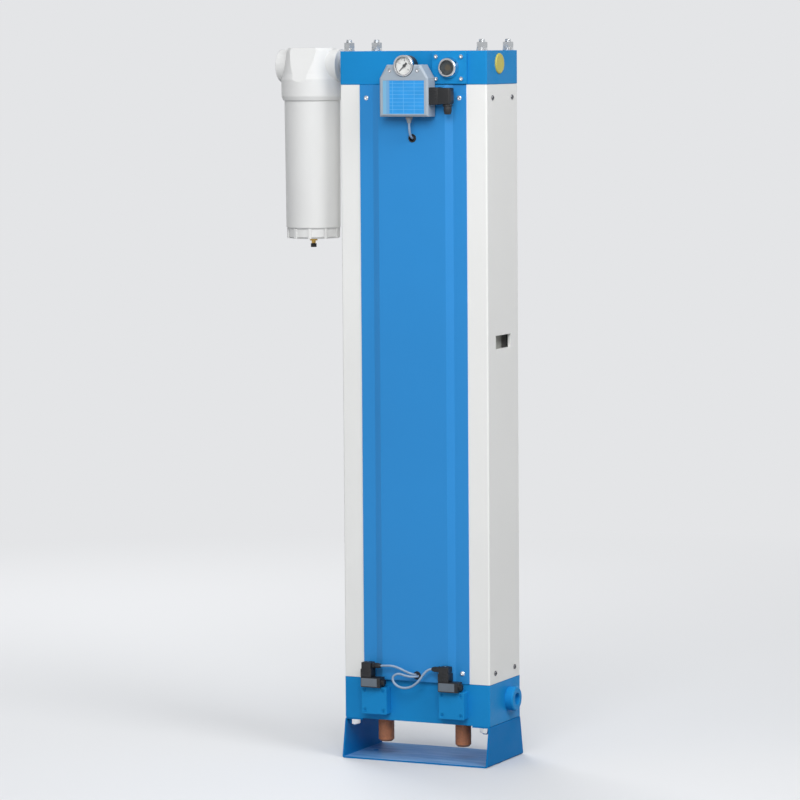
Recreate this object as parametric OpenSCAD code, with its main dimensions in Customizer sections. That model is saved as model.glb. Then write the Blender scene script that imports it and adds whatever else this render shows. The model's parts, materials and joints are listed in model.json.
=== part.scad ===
// Twin-column desiccant air dryer with a prefilter.
// Millimetres, +Z up, front towards -Y. The origin is on the floor under the middle of the tower.

/* [Tower] */
// Width of the tower over the side covers
tower_w = 300; // [298:1:320]
// Depth of the tower over the cover flanges
tower_d = 142; // [141:1:160]
// Height of the side covers between the manifolds
cover_h = 1120; // [800:10:1400]
// Thickness of the cover and panel sheet
sheet_t = 1.5; // [1:0.1:2]
// Outer radius of the folds in the covers
fold_r = 3; // [2.5:0.5:5]
// Width of the front and rear flanges of a cover
flange_w = 62; // [61:1:66]
// Gap left at each end of the covers and panels
end_gap = 0.5; // [0.3:0.1:1]
// Clearance round a piece that drops into a seat
seat_gap = 0.1; // [0.05:0.05:0.2]

/* [Hand window] */
// Length of the hand window in a side cover
window_w = 70; // [50:1:90]
// Height of the hand window
window_h = 25; // [18:1:35]
// Depth of the lip folded in round the window
window_lip = 6; // [3:0.5:9]
// Height of the window's middle above the lower edge of the cover
window_rise = 640; // [400:1:700]

/* [Front and rear panels] */
// Width of cover flange left bare beside a panel
panel_reveal = 41; // [38:1:43]
// Width of the flat land along each edge of a panel
panel_land = 27; // [24:1:30]
// Width of the slanted step
panel_slope = 14; // [8:1:18]
// Height of the raised middle
panel_step = 6; // [3:0.5:9]

/* [Sheet screws] */
// Thread diameter of the sheet screws
screw_d = 5; // [4:0.5:5]
// Length of the sheet screws under the head
screw_len = 14; // [10:1:16]
// Head diameter of the sheet screws
screw_head_d = 9.5; // [8:0.5:11]
// Head height of the sheet screws
screw_head_h = 2.7; // [2:0.1:3]
// Distance between the two screws on a side
side_screw_pitch = 90; // [60:1:94]
// Distance of the front and rear screws from the edge of their panel
front_screw_inset = 14; // [10:1:15]
// Distance of the upper screws below the upper edge of the covers
screw_drop = 25; // [16:1:30]
// Distance of the lower screws above the lower edge of the covers
screw_rise = 20; // [16:1:30]

/* [Base] */
// Height of the base bracket
base_h = 76; // [70:1:100]
// Thickness of the base sheet
base_t = 3; // [2:0.5:3]
// Length that the foot stands out in front and behind
base_foot = 14; // [6:1:30]
// Width of the flanges under the lower manifold
base_flange = 36; // [32:1:44]
// Outer radius of the folds in the base
base_fold_r = 4; // [3.5:0.5:4]
// Distance between the anchor holes
anchor_pitch = 240; // [200:1:250]
// Diameter of the anchor holes
anchor_d = 11; // [9:0.5:14]

/* [Manifolds] */
// Height of the lower manifold between base and covers
bottom_h = 78; // [76:1:90]
// Height of the upper manifold above the covers
top_h = 62; // [62:1:76]
// Height of the spigot that stands inside the covers
spigot_h = 38; // [36:1:46]
// Radius of the upright edges of the manifolds
block_r = 2; // [1:0.5:4]
// Diameter of the shuttle galleries
gallery_d = 36; // [34:1:37]
// Distance of the lower gallery behind the middle plane
low_gallery_y = 21; // [19:1:24]
// Height of the lower gallery above the underside of its manifold
low_gallery_z = 41; // [39:1:43]
// Distance of the upper gallery behind the middle plane
high_gallery_y = 30; // [29:1:32]
// Diameter of the pipe ports
port_d = 30.3; // [28:0.1:31]
// Distance of the pipe ports in front of the middle plane
port_y = 14; // [12:1:16]
// Height of the pipe ports above the underside of the upper manifold
port_z = 35; // [33:1:37]
// Depth of a pipe port
port_depth = 20; // [18:1:22]
// Height of the outlet port above the inlet port
outlet_rise = 3; // [0:0.5:4]
// Diameter of the cored air passages
passage_d = 16; // [12:1:18]

/* [Columns] */
// Outside width of a column
column_w = 112; // [110:1:114]
// Bore of a column
column_bore = 100; // [98:1:102]
// Radius of a column's corners
column_corner = 12; // [8:1:16]
// Distance between the columns
column_pitch = 140; // [138:1:142]
// Height of the round register that enters a column
register_h = 8; // [7:0.5:10]
// Diameter of the lower chamber under a column
chamber_d = 30; // [26:1:32]
// Diameter of the outlet over a column
outlet_d = 20; // [16:1:22]
// Outside diameter of the transfer tube
transfer_d = 22; // [20:1:24]
// Wall of the transfer tube
transfer_wall = 2; // [1.5:0.5:3]
// Depth that the transfer tube enters a manifold
transfer_seat = 14; // [12:1:18]

/* [Desiccant] */
// Thickness of a strainer
strainer_t = 4; // [3:0.5:6]
// Diameter of the holes in a strainer
strainer_hole_d = 6; // [4:0.5:8]
// Length of a compressed bed spring
bed_spring_h = 34; // [28:1:44]
// Wire of a bed spring
bed_wire_d = 4; // [3:0.5:5]
// Mean diameter of a bed spring
bed_spring_d = 70; // [60:1:80]

/* [Tie rods] */
// Diameter of the tie rods
rod_d = 12; // [10:1:12]
// Distance of a tie rod from the side of the tower
rod_inset_x = 14; // [14:0.5:16]
// Distance of a tie rod from the front or rear of the tower
rod_inset_y = 11; // [10:0.5:12]
// Length of rod that stands out of a nut
rod_end = 5.5; // [3:0.5:14]
// Width across flats of a tie rod nut
nut_af = 19; // [17:1:19]
// Height of a tie rod nut
nut_h = 10; // [8:0.5:12]
// Diameter of a tie rod washer
washer_d = 21; // [20:1:22]
// Thickness of a tie rod washer
washer_t = 2.5; // [1.5:0.5:3]
// Diameter of a spring washer
spring_washer_d = 20; // [18:0.5:21]
// Thickness of a spring washer
spring_washer_t = 3.4; // [2.5:0.1:4]

/* [Exhaust valves] */
// Distance of a valve from the middle of the tower
valve_x = 80; // [78:1:82]
// Height of the valve axis above the underside of the lower manifold
valve_z = 39; // [37:1:40]
// Width and height of a valve cover
valve_cover_w = 52; // [50:1:54]
// Depth of a valve cover
valve_cover_t = 20; // [16:1:24]
// Diameter of the exhaust piston's cylinder
piston_d = 36; // [34:1:37]
// Depth of the cylinder from the front of the manifold to its seat
piston_depth = 45; // [43:1:47]
// Diameter of the exhaust seat
seat_d = 22; // [18:1:24]
// Travel of an exhaust piston
piston_travel = 8; // [5:1:8]
// Radial running clearance of pistons, shuttles and spindles
run_gap = 0.05; // [0.02:0.01:0.1]
// Distance between the screws of a valve cover
valve_screw_pitch = 38; // [37:1:40]

/* [Coils and plugs] */
// Length of a solenoid coil
coil_l = 46; // [40:1:50]
// Depth of a solenoid coil
coil_d = 22; // [20:1:26]
// Height of a solenoid coil
coil_h = 19; // [16:1:22]
// Width of the plug on a coil
plug_w = 22; // [20:1:24]
// Height of the plug on a coil
plug_h = 29; // [28:1:36]
// Length of the cable gland on a plug
gland_l = 16; // [12:1:20]
// Diameter of the cable gland on a plug
gland_d = 11; // [9:1:12]

/* [Power plug] */
// Length of the power plug on the controller
power_plug_l = 42; // [36:1:46]
// Depth of the power plug
power_plug_d = 24; // [20:1:26]
// Height of the power plug
power_plug_h = 32; // [28:1:36]
// Diameter of the power plug's cable gland
power_gland_d = 16; // [14:1:18]
// Length of the power plug's cable gland
power_gland_l = 18; // [14:1:22]

/* [Silencers] */
// Diameter of a silencer
silencer_d = 30; // [24:1:32]
// Length of a silencer below the manifold
silencer_l = 46; // [36:1:50]
// Distance of the silencers in front of the exhaust seat
silencer_ahead = 11; // [11:1:14]
// Diameter of a silencer's thread
silencer_thread_d = 19; // [16:1:20]

/* [End caps] */
// Diameter of a gallery cap
cap_d = 46; // [42:1:48]
// Length that a gallery cap stands out
cap_l = 16; // [10:1:18]

/* [Pressure gauge] */
// Diameter of the gauge case
gauge_d = 38; // [36:1:42]
// Distance of the gauge's front from the manifold
gauge_reach = 44; // [42:1:46]
// Depth of the gauge case
gauge_depth = 27; // [24:1:29]
// Diameter of the gauge's stem
gauge_stem_d = 12; // [10:1:13]
// Angle of the pointer at zero, from the right, anticlockwise seen from the front
pointer_zero = 225; // [210:1:240]

/* [Controller] */
// Width of the controller
box_w = 99; // [94:1:102]
// Height of the controller
box_h = 96; // [92:1:100]
// Distance of the controller's front from the manifold
box_reach = 42; // [41:1:46]
// Depth of the controller's housing
box_depth = 32; // [30:1:33]
// Wall of the controller's housing
box_wall = 3; // [2:0.5:4]
// Width of the cut upper corners
box_corner_w = 15; // [10:1:17]
// Height of the cut upper corners
box_corner_h = 25; // [15:1:30]
// Height of the controller's upper edge above the underside of the upper manifold
box_top = 37; // [36:1:38]
// Width of the label plate
label_w = 84; // [70:1:88]
// Height of the label plate
label_h = 62; // [50:1:66]
// Thickness of the label plate
label_t = 0.6; // [0.4:0.1:1]
// Distance between the two mounting screws
box_screw_pitch = 56; // [55:1:60]
// Distance of the mounting screws below the controller's upper edge
box_screw_drop = 11; // [10:0.5:12]

/* [Moisture indicator] */
// Distance of the indicator from the middle of the tower
indicator_x = 77; // [75:1:80]
// Width of the indicator's flange
indicator_w = 70; // [66:1:74]
// Height of the indicator's flange
indicator_h = 60; // [56:1:61]
// Thickness of the indicator's flange
indicator_t = 6; // [4:0.5:8]
// Diameter of the bezel at the flange
bezel_d = 40; // [38:1:41]
// Length that the bezel stands out of the flange
bezel_l = 12; // [10:1:16]
// Diameter of the sight glass
sight_d = 30; // [28:1:32]

/* [Outlet plug] */
// Diameter of the outlet plug's flange
outlet_plug_d = 38; // [34:1:40]

/* [Prefilter] */
// Length of the filter head over its ports
head_l = 125; // [122:1:130]
// Gap between the filter head and the tower
filter_gap = 24; // [20:1:30]
// Diameter of the port bosses on the filter head
boss_d = 62; // [56:1:64]
// Depth of the filter head's top, across its flat front and rear
head_depth = 73; // [70:1:75]
// Diameter of the collar
collar_d = 117; // [114:1:119]
// Height of the filter head above the port axis
head_rise = 34; // [31:1:36]
// Depth of the collar's lower edge below the port axis
collar_drop = 65; // [62:1:70]
// Diameter of the bowl at the collar
bowl_d = 106; // [104:1:108]
// Length of the bowl below the collar
bowl_l = 261; // [200:1:300]
// Wall of the bowl
bowl_wall = 5; // [4:0.5:6]
// Number of ribs round the foot of the bowl
bowl_ribs = 10; // [6:1:14]
// Diameter of the filter element
element_d = 66; // [56:1:70]

/* [Hidden] */
$fn = 64;
// Length by which a cutter runs past the face it opens
past = 1;

// Colours
panel_blue = [0.22, 0.54, 0.80];
manifold_blue = [0.12, 0.50, 0.76];
cover_white = [0.90, 0.90, 0.89];
filter_white = [0.92, 0.92, 0.91];
bare_aluminium = [0.72, 0.73, 0.74];
bright_steel = [0.78, 0.78, 0.78];
plug_black = [0.06, 0.06, 0.07];
lead_grey = [0.70, 0.73, 0.76];
bronze = [0.55, 0.33, 0.18];
brass_tone = [0.78, 0.62, 0.30];
seal_black = [0.08, 0.08, 0.08];
bead_white = [0.88, 0.86, 0.80];

// Levels from the floor up
bottom_z = base_h;
cover_z0 = bottom_z + bottom_h;
cover_z1 = cover_z0 + cover_h;
top_z = cover_z1 + top_h;
column_z0 = cover_z0 + spigot_h;
column_z1 = cover_z1 - spigot_h;
screw_z_low = cover_z0 + screw_rise;
screw_z_high = cover_z1 - screw_drop;
front_y = -tower_d / 2;

// Panels
panel_w = tower_w - 2 * panel_reveal;
front_screw_x = panel_w / 2 - front_screw_inset;
screw_slack = 0.6;

// Spigots and column registers
spigot_fit = 0.3;
spigot_w = tower_w - 2 * sheet_t - 2 * spigot_fit;
spigot_d = tower_d - 2 * sheet_t - 2 * spigot_fit;
column_x = column_pitch / 2;
register_d = column_bore - 4 * seat_gap;
ring_wire_d = 2.6;
ring_slack = 0.05;
ring_groove_h = 4;
ring_groove_r = column_bore / 2 - ring_wire_d - 2 * ring_slack;
tube_ring_d = 2.4;
tube_groove_d = transfer_d + 2 * tube_ring_d + 4 * ring_slack;
tube_groove_h = 3;
bed_z0 = column_z0 + register_h + strainer_t;
bed_z1 = column_z1 - register_h - bed_spring_h - strainer_t;

// Tie rods
rod_x = tower_w / 2 - rod_inset_x;
rod_y = tower_d / 2 - rod_inset_y;
rod_hole_d = rod_d + 1;
spring_washer_z = top_z + washer_t + seat_gap;
nut_z0 = spring_washer_z + spring_washer_t;
rod_top_z = nut_z0 + nut_h + rod_end;
nut_low_z = bottom_z - base_t - nut_h;
rod_low_z = nut_low_z - rod_end / 2;

// Galleries and shuttles
low_axis_z = bottom_z + low_gallery_z;
port_axis_z = cover_z1 + port_z;
outlet_axis_z = port_axis_z + outlet_rise;
high_end_x = column_x + outlet_d;
cap_thread_l = 12;
shuttle_seat_x = 46;
shuttle_seat_t = 8;
shuttle_seat_bore = 24;
shuttle_nose_d = 28;
shuttle_nose_l = 6;
shuttle_head_l = 8;
shuttle_travel = 3.7;
shuttle_end_gap = 0.3;
shuttle_nose_x = shuttle_seat_x - shuttle_travel - shuttle_end_gap;
shuttle_head_x = shuttle_nose_x - shuttle_nose_l;
shuttle_stem_d = 12;
shuttle_notch_d = 10;
transfer_bore = transfer_d - 2 * transfer_wall;
cross_d = passage_d - 2;
inlet_end_x = transfer_bore / 2;
cross_x = inlet_end_x + transfer_wall + passage_d / 2 + 1;

// Exhaust valves
valve_axis_z = bottom_z + valve_z;
seat_y = front_y + piston_depth;
silencer_y = seat_y - silencer_ahead;
poppet_gap = 0.3;
poppet_t = 6;
poppet_d = seat_d + 8;
piston_head_l = 10;
piston_stem_d = 10;
piston_front_y = front_y + piston_travel + 1;
spring_pocket_d = 26;
spring_pocket_h = 6;
cover_recess_h = 4;
valve_wire_d = 2;
valve_spring_d = 20;
valve_cover_z1 = valve_axis_z + valve_cover_w / 2;
cover_front_y = front_y - valve_cover_t;
m4_d = 4;
m4_hole_d = m4_d + 2 * run_gap;
m4_grip = 10;
m4_head_d = 7;
m4_head_h = 4;

// Panels, coils and plugs
panel_front_y = front_y - panel_step - sheet_t;
plug_rear_y = panel_front_y - 1.5;
coil_x0 = -coil_l / 2;
coil_z1 = valve_cover_z1 + coil_h;
plug_z1 = coil_z1 + plug_h;
plug_gland_z = plug_z1 - 7;
plug_gasket_t = 1.2;
plug_gasket_inset = 0.5;
plug_edge_r = 1;
hood_inset = 1;
hood_edge_r = 2;

// Leads: diameter, grommets and routes
lead_d = 4.4;
grommet_bore = 10.6;
grommet_neck_d = 13;
grommet_flange_d = 16;
grommet_flange_t = 2;
left_route = [
    [-65, -91, 182], [-57, -91, 182.5], [-50, -91, 183], [-43, -91, 183], [-36, -91, 182],
    [-29, -91, 180], [-22, -91, 177.5], [-16, -91, 175], [-10.5, -91, 173], [-7.5, -90.6, 171.8],
    [-4.5, -89.4, 170.6], [-2, -87.5, 169.5], [0, -85, 168.5], [1.2, -82, 167.7],
    [1.6, -79, 167.4], [1.6, -75, 167.4], [1.6, -71, 167.4]
];
right_route = [
    [41, -91, 182], [36, -91.5, 181], [30, -92.5, 177.5], [25, -94, 172], [20, -95.5, 165],
    [15, -97, 158], [9, -98, 152.5], [2, -98.5, 148], [-6, -98.5, 145], [-14, -98.5, 144],
    [-22, -98.5, 145], [-29, -98.5, 148], [-34.5, -98, 152.5], [-37.5, -97.5, 158],
    [-37, -97, 163.5], [-33, -96.5, 167.5], [-27, -96.3, 169.5], [-20, -96, 169],
    [-13.5, -95.5, 167.2], [-7.3, -93.8, 165.8], [-0.3, -91.2, 165], [4.6, -86.3, 164.7],
    [6.6, -79.5, 164.6], [6.6, -75, 164.6], [6.6, -71, 164.6]
];
controller_route = [
    [4, -97, 1203], [4, -97, 1200], [4, -96.8, 1196.5], [3.9, -96.2, 1193], [3.7, -95.2, 1189.5],
    [3.4, -93.7, 1186.3], [3.1, -91.7, 1183.3], [2.7, -89.2, 1180.6], [2.3, -86.4, 1178.4],
    [1.9, -83.4, 1176.7], [1.6, -80.4, 1175.4], [1.5, -78, 1174.8], [1.5, -75, 1174.5],
    [1.5, -72.5, 1174.5], [1.5, -70, 1174.5]
];

// Gauge
gauge_front_y = front_y - gauge_reach;
gauge_wall = 1.5;
gauge_bezel_d = gauge_d + 1.6;
gauge_lip_t = 1;
lens_t = 1.5;
lens_d = gauge_d - 3;
rim_y = gauge_front_y + 5;
dial_y = gauge_front_y + 8;
dial_t = 0.8;
spindle_d = 1.5;
pointer_t = 0.8;
pointer_y = dial_y - 1.6;
pointer_l = 14;
pointer_w = 2.6;
pointer_tip_w = 0.8;
pointer_hub_d = 6;
tail_w = 4.2;
tail_l = 7;
pillar_d = 10;
stem_seat = 11;

// Controller
box_z1 = cover_z1 + box_top;
box_z0 = box_z1 - box_h;
box_front_y = front_y - box_reach;
box_rear_y = box_front_y + box_depth;
box_bevel = 3;
box_screw_z = box_z1 - box_screw_drop;
box_boss_d = 10;
gauge_notch_d = gauge_bezel_d + 2;
gland_x = 4;
gland_y = (box_front_y + box_rear_y) / 2;
high_grommet = [1.5, box_z0 - 40.5];
low_grommet = [4.1, cover_z0 + 12];
gland_drop = 12;
label_z0 = box_z0 + 5;
power_plug_z = box_z0 + 38;
power_collar_l = 17;
power_plug_y = gland_y;

// Moisture indicator
indicator_z = cover_z1 + top_h / 2;
indicator_pitch_x = indicator_w - 19;
indicator_pitch_z = indicator_h - 19;
bezel_front_d = sight_d + 5;
bezel_lip = 1;
bezel_lip_t = 1.5;
bezel_skirt_d = sight_d + 3;
sight_t = 4;
sight_y = front_y - indicator_t - bezel_l + bezel_lip_t;
card_t = 3;

// Prefilter
filter_x = -(tower_w / 2 + filter_gap + head_l / 2);
filter_y = -port_y;
head_z1 = port_axis_z + head_rise;
collar_z0 = port_axis_z - collar_drop;
head_lean = 19;
bowl_z0 = collar_z0 - bowl_l;
neck_d = bowl_d - 6;
neck_h = 30;
neck_wall = 4;
bowl_groove_r = neck_d / 2 - ring_wire_d + seat_gap - 2 * ring_slack;
bowl_taper = 1.5;
bowl_foot_h = 18;
bowl_foot_step = 3.5;
bowl_floor = 8;
rib_w = 6;
rib_t = 3;
element_port_d = 26;
element_wall = 12;
element_cap_t = 6;
element_z1 = collar_z0 + neck_h - 12;
element_z0 = bowl_z0 + bowl_floor + 20;
drain_thread_d = 10;
drain_hex_af = 14;
drain_hex_h = 5;
drain_nozzle_d = 8;
drain_nozzle_l = 5;
drain_bore = 5;
knob_d = 11;
knob_h = 7;
knob_gap = 0.5;
drain_z0 = bowl_z0 - drain_hex_h - drain_nozzle_l;

// Shared shapes

// A flat rectangle with round corners, centred
module rounded_rect(w, d, r) {
    square([w - 2 * r, d], center = true);
    square([w, d - 2 * r], center = true);
    for (sx = [-1, 1], sy = [-1, 1])
        translate([sx * (w / 2 - r), sy * (d / 2 - r)]) circle(r = r);
}

// Cylinders that run towards +X and +Y from where they are placed
module bar_x(d, l) { rotate([0, 90, 0]) cylinder(d = d, h = l); }
module bar_y(d, l) { rotate([-90, 0, 0]) cylinder(d = d, h = l); }

// A ring of round section about the Z axis
module ring(mean_r, wire_d) {
    rotate_extrude() translate([mean_r, 0]) circle(d = wire_d, $fn = 32);
}

// A hexagonal prism given by its width across flats
module hexagon(af, h) { cylinder(d = af / cos(30), h = h, $fn = 6); }

// Places at the four tie rods
module at_rods() {
    for (sx = [-1, 1], sy = [-1, 1]) translate([sx * rod_x, sy * rod_y, 0]) children();
}

// Places at the two columns
module at_columns() {
    for (sx = [-1, 1]) translate([sx * column_x, 0, 0]) children();
}

// Places at the sheet screws of one level, Z pointing out of the tower
module at_sheet_screws(z, stand = 0) {
    for (sx = [-1, 1], sy = [-1, 1]) {
        translate([sx * tower_w / 2, sy * side_screw_pitch / 2, z])
            rotate([0, sx * 90, 0]) children();
        translate([sx * front_screw_x, sy * (tower_d / 2 + stand), z])
            rotate([-sy * 90, 0, 0]) children();
    }
}

// Tapped holes in a spigot, and clearance holes through the sheet
module sheet_screw_taps(z) {
    at_sheet_screws(z) translate([0, 0, -screw_len])
        cylinder(d = screw_d + 2 * run_gap, h = screw_len + past);
}
module sheet_screw_holes() {
    for (z = [screw_z_low, screw_z_high])
        at_sheet_screws(z) translate([0, 0, -2 * sheet_t])
            cylinder(d = screw_d + screw_slack, h = 4 * sheet_t);
}

// Vectors along a path, for round tubes that follow it
function unit(v) = v / norm(v);
function heading(p, i) = unit(p[min(i + 1, len(p) - 1)] - p[max(i - 1, 0)]);
function across(n, t) = unit(n - (n * t) * t);
function side_start(t) = across(abs(t[2]) < 0.9 ? [0, 0, 1] : [1, 0, 0], t);

// A closed round tube along the points p
module tube_along(p, d, sides = 8) {
    count = len(p);
    normals = [
        for (i = 0, n = side_start(heading(p, 0)); i < count;
            i = i + 1, n = i < count ? across(n, heading(p, i)) : n) n
    ];
    points = [
        for (i = [0:count - 1], k = [0:sides - 1])
            let (t = heading(p, i), n = normals[i], b = cross(t, n), a = 360 * k / sides)
                p[i] + d / 2 * (cos(a) * n + sin(a) * b)
    ];
    walls = [
        for (i = [0:count - 2], k = [0:sides - 1])
            let (k2 = (k + 1) % sides)
                [i * sides + k, (i + 1) * sides + k, (i + 1) * sides + k2, i * sides + k2]
    ];
    first = [for (k = [0:sides - 1]) k];
    last = [for (k = [0:sides - 1]) (count - 1) * sides + sides - 1 - k];
    polyhedron(points, concat([first], walls, [last]), convexity = 6);
}

// A coil spring along +Z, its wire inside the height given
module coil_spring(mean_d, wire_d, h, turns, steps = 18) {
    rise = h - wire_d;
    count = turns * steps;
    path = [
        for (i = [0:count])
            [mean_d / 2 * cos(360 * i / steps), mean_d / 2 * sin(360 * i / steps),
                wire_d / 2 + rise * i / count]
    ];
    tube_along(path, wire_d, 6);
}

// Tower frame

module base_bracket() color(manifold_blue) difference() {
    intersection() {
        rotate([90, 0, 0])
            linear_extrude(tower_d + 2 * base_foot, center = true)
                translate([0, base_h / 2]) difference() {
                    rounded_rect(tower_w, base_h, base_fold_r);
                    rounded_rect(tower_w - 2 * base_t, base_h - 2 * base_t, base_fold_r - base_t);
                    translate([0, base_h / 2])
                        square([tower_w - 2 * base_flange, base_h], center = true);
                }
        rotate([90, 0, 90])
            linear_extrude(tower_w, center = true)
                polygon([
                    [-tower_d / 2 - base_foot, 0], [tower_d / 2 + base_foot, 0],
                    [tower_d / 2 + base_foot, base_t], [tower_d / 2, base_h],
                    [-tower_d / 2, base_h], [-tower_d / 2 - base_foot, base_t]
                ]);
    }
    for (sx = [-1, 1])
        translate([sx * anchor_pitch / 2, 0, -past]) cylinder(d = anchor_d, h = base_t + 2 * past);
    at_rods() translate([0, 0, base_h / 2]) cylinder(d = rod_hole_d, h = base_h);
}

// The groove for a column seal, cut round a register
module register_groove(z) {
    translate([0, 0, z - ring_groove_h / 2]) difference() {
        cylinder(d = column_bore + 2, h = ring_groove_h);
        translate([0, 0, -past]) cylinder(r = ring_groove_r, h = ring_groove_h + 2 * past);
    }
}

module bottom_manifold() color(manifold_blue) difference() {
    union() {
        translate([0, 0, bottom_z]) linear_extrude(bottom_h) rounded_rect(tower_w, tower_d, block_r);
        translate([0, 0, cover_z0]) linear_extrude(spigot_h) rounded_rect(spigot_w, spigot_d, block_r);
        at_columns() translate([0, 0, column_z0]) cylinder(d = register_d, h = register_h);
    }
    at_rods() translate([0, 0, bottom_z - past]) cylinder(d = rod_hole_d, h = top_z);
    at_columns() {
        translate([0, 0, valve_axis_z - seat_d / 2 - 3]) cylinder(d = chamber_d, h = top_z);
        register_groove(column_z0 + register_h / 2);
    }
    // Inlet: transfer tube seat and the cored way down to the gallery
    translate([0, 0, column_z0 - transfer_seat]) {
        cylinder(d = transfer_d + 2 * seat_gap, h = transfer_seat + past);
        translate([0, 0, (transfer_seat - tube_groove_h) / 2])
            cylinder(d = tube_groove_d, h = tube_groove_h);
    }
    translate([0, 0, low_axis_z - passage_d / 2 - 1])
        cylinder(d = transfer_bore, h = column_z0 - low_axis_z + passage_d / 2 + 1);
    translate([0, 0, low_axis_z]) bar_y(passage_d, low_gallery_y);
    translate([-tower_w / 2 - past, low_gallery_y, low_axis_z])
        bar_x(gallery_d, tower_w + 2 * past);
    // Exhaust: cylinder, seat, way to the chamber and silencer port
    for (sx = [-1, 1]) translate([sx * valve_x, 0, valve_axis_z]) {
        translate([0, front_y - past, 0]) bar_y(piston_d, piston_depth + past);
        translate([0, seat_y - past, 0]) bar_y(seat_d, past - seat_y);
        translate([0, silencer_y, -valve_z - past])
            cylinder(d = silencer_thread_d, h = valve_z - piston_d / 2 + 2 * past + 2);
        for (kx = [-1, 1], kz = [-1, 1])
            translate([kx * valve_screw_pitch / 2, front_y - past, kz * valve_screw_pitch / 2])
                bar_y(m4_hole_d, m4_grip + 2 * past);
    }
    sheet_screw_taps(screw_z_low);
}

module top_manifold() color(manifold_blue) difference() {
    union() {
        translate([0, 0, cover_z1]) linear_extrude(top_h) rounded_rect(tower_w, tower_d, block_r);
        translate([0, 0, column_z1]) linear_extrude(spigot_h) rounded_rect(spigot_w, spigot_d, block_r);
        at_columns() translate([0, 0, column_z1 - register_h]) cylinder(d = register_d, h = register_h);
    }
    at_rods() translate([0, 0, column_z1 - past]) cylinder(d = rod_hole_d, h = top_z);
    at_columns() {
        register_groove(column_z1 - register_h / 2);
        translate([0, high_gallery_y, column_z1 - register_h - past])
            cylinder(d = outlet_d, h = port_axis_z - column_z1 + register_h + past);
    }
    // Outlet gallery, closed on the left by a cap
    translate([-tower_w / 2 - past, high_gallery_y, port_axis_z])
        bar_x(gallery_d, tower_w / 2 + high_end_x + past);
    // Inlet port and the way down to the transfer tube
    translate([-tower_w / 2 - past, -port_y, port_axis_z]) {
        bar_x(port_d, port_depth + past);
        bar_x(passage_d, tower_w / 2 + inlet_end_x + past);
    }
    translate([0, -port_y, port_axis_z]) bar_y(cross_d, port_y);
    translate([0, 0, column_z1 - past]) {
        cylinder(d = transfer_d + 2 * seat_gap, h = transfer_seat + past);
        translate([0, 0, past + (transfer_seat - tube_groove_h) / 2])
            cylinder(d = tube_groove_d, h = tube_groove_h);
        cylinder(d = transfer_bore, h = port_axis_z - column_z1 + passage_d / 2 + 1 + past);
    }
    // Outlet port and the cored way from the middle of the gallery
    translate([cross_x, -port_y, outlet_axis_z]) bar_x(passage_d, tower_w / 2 - cross_x + past);
    translate([tower_w / 2 - port_depth, -port_y, outlet_axis_z]) bar_x(port_d, port_depth + past);
    translate([cross_x, -port_y, port_axis_z]) bar_y(cross_d, port_y + high_gallery_y);
    // Gauge port
    translate([0, front_y - past, port_axis_z]) {
        bar_y(gauge_stem_d + 2 * seat_gap, stem_seat + past + 1);
        bar_y(gauge_stem_d / 2, -front_y - port_y + past);
    }
    // Sample way to the moisture indicator
    translate([indicator_x, front_y - past, indicator_z]) {
        bar_y(sight_d - 9, 15 + past);
        bar_y(m4_d, -front_y - port_y + past);
        for (kx = [-1, 1], kz = [-1, 1])
            translate([kx * indicator_pitch_x / 2, 0, kz * indicator_pitch_z / 2])
                bar_y(m4_hole_d, m4_grip + 2 * past);
    }
    for (sx = [-1, 1]) translate([sx * box_screw_pitch / 2, front_y - past, box_screw_z])
        bar_y(m4_hole_d, m4_grip + 2 * past);
    sheet_screw_taps(screw_z_high);
}

module tie_rods() color(bright_steel) at_rods()
    translate([0, 0, rod_low_z]) {
        rod_l = rod_top_z - rod_low_z;
        tip = rod_d / 8;
        cylinder(d = rod_d, h = rod_l - tip);
        translate([0, 0, rod_l - tip]) cylinder(d1 = rod_d, d2 = rod_d - 2 * tip, h = tip);
    }

module tie_rod_nut() difference() {
    intersection() {
        hexagon(nut_af, nut_h);
        // Chamfered corners at both ends of the nut
        rotate_extrude() polygon([
            [0, 0], [nut_af / 2, 0], [nut_af / 2 + nut_h / 5, nut_h / 8],
            [nut_af / 2 + nut_h / 5, nut_h * 7 / 8], [nut_af / 2, nut_h], [0, nut_h]
        ]);
    }
    translate([0, 0, -past]) cylinder(d = rod_d + 2 * seat_gap, h = nut_h + 2 * past);
}

module tie_rod_nuts() color(bright_steel) at_rods() {
    translate([0, 0, nut_z0]) tie_rod_nut();
    // A flat of each lower nut faces the upright beside it
    translate([0, 0, nut_low_z]) rotate(30) tie_rod_nut();
}

module washer(d, h) difference() {
    cylinder(d = d, h = h);
    translate([0, 0, -past]) cylinder(d = rod_hole_d, h = h + 2 * past);
}

// A plain washer on the manifold and a spring washer under the nut
module tie_rod_washers() color(bright_steel) at_rods() {
    spring_slit = 1.5;
    translate([0, 0, top_z]) washer(washer_d, washer_t);
    translate([0, 0, spring_washer_z]) difference() {
        washer(spring_washer_d, spring_washer_t);
        rotate(30) translate([0, -spring_slit / 2, -past])
            cube([spring_washer_d, spring_slit, spring_washer_t + 2 * past]);
    }
}

// Columns and what they hold

module column(side) color(bare_aluminium)
    translate([side * column_x, 0, column_z0])
        linear_extrude(column_z1 - column_z0) difference() {
            rounded_rect(column_w, column_w, column_corner);
            circle(d = column_bore);
        }

module transfer_tube() color(bare_aluminium)
    translate([0, 0, column_z0 - transfer_seat]) difference() {
        tube_l = column_z1 - column_z0 + 2 * transfer_seat;
        cylinder(d = transfer_d, h = tube_l);
        translate([0, 0, -past]) cylinder(d = transfer_bore, h = tube_l + 2 * past);
    }

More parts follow.
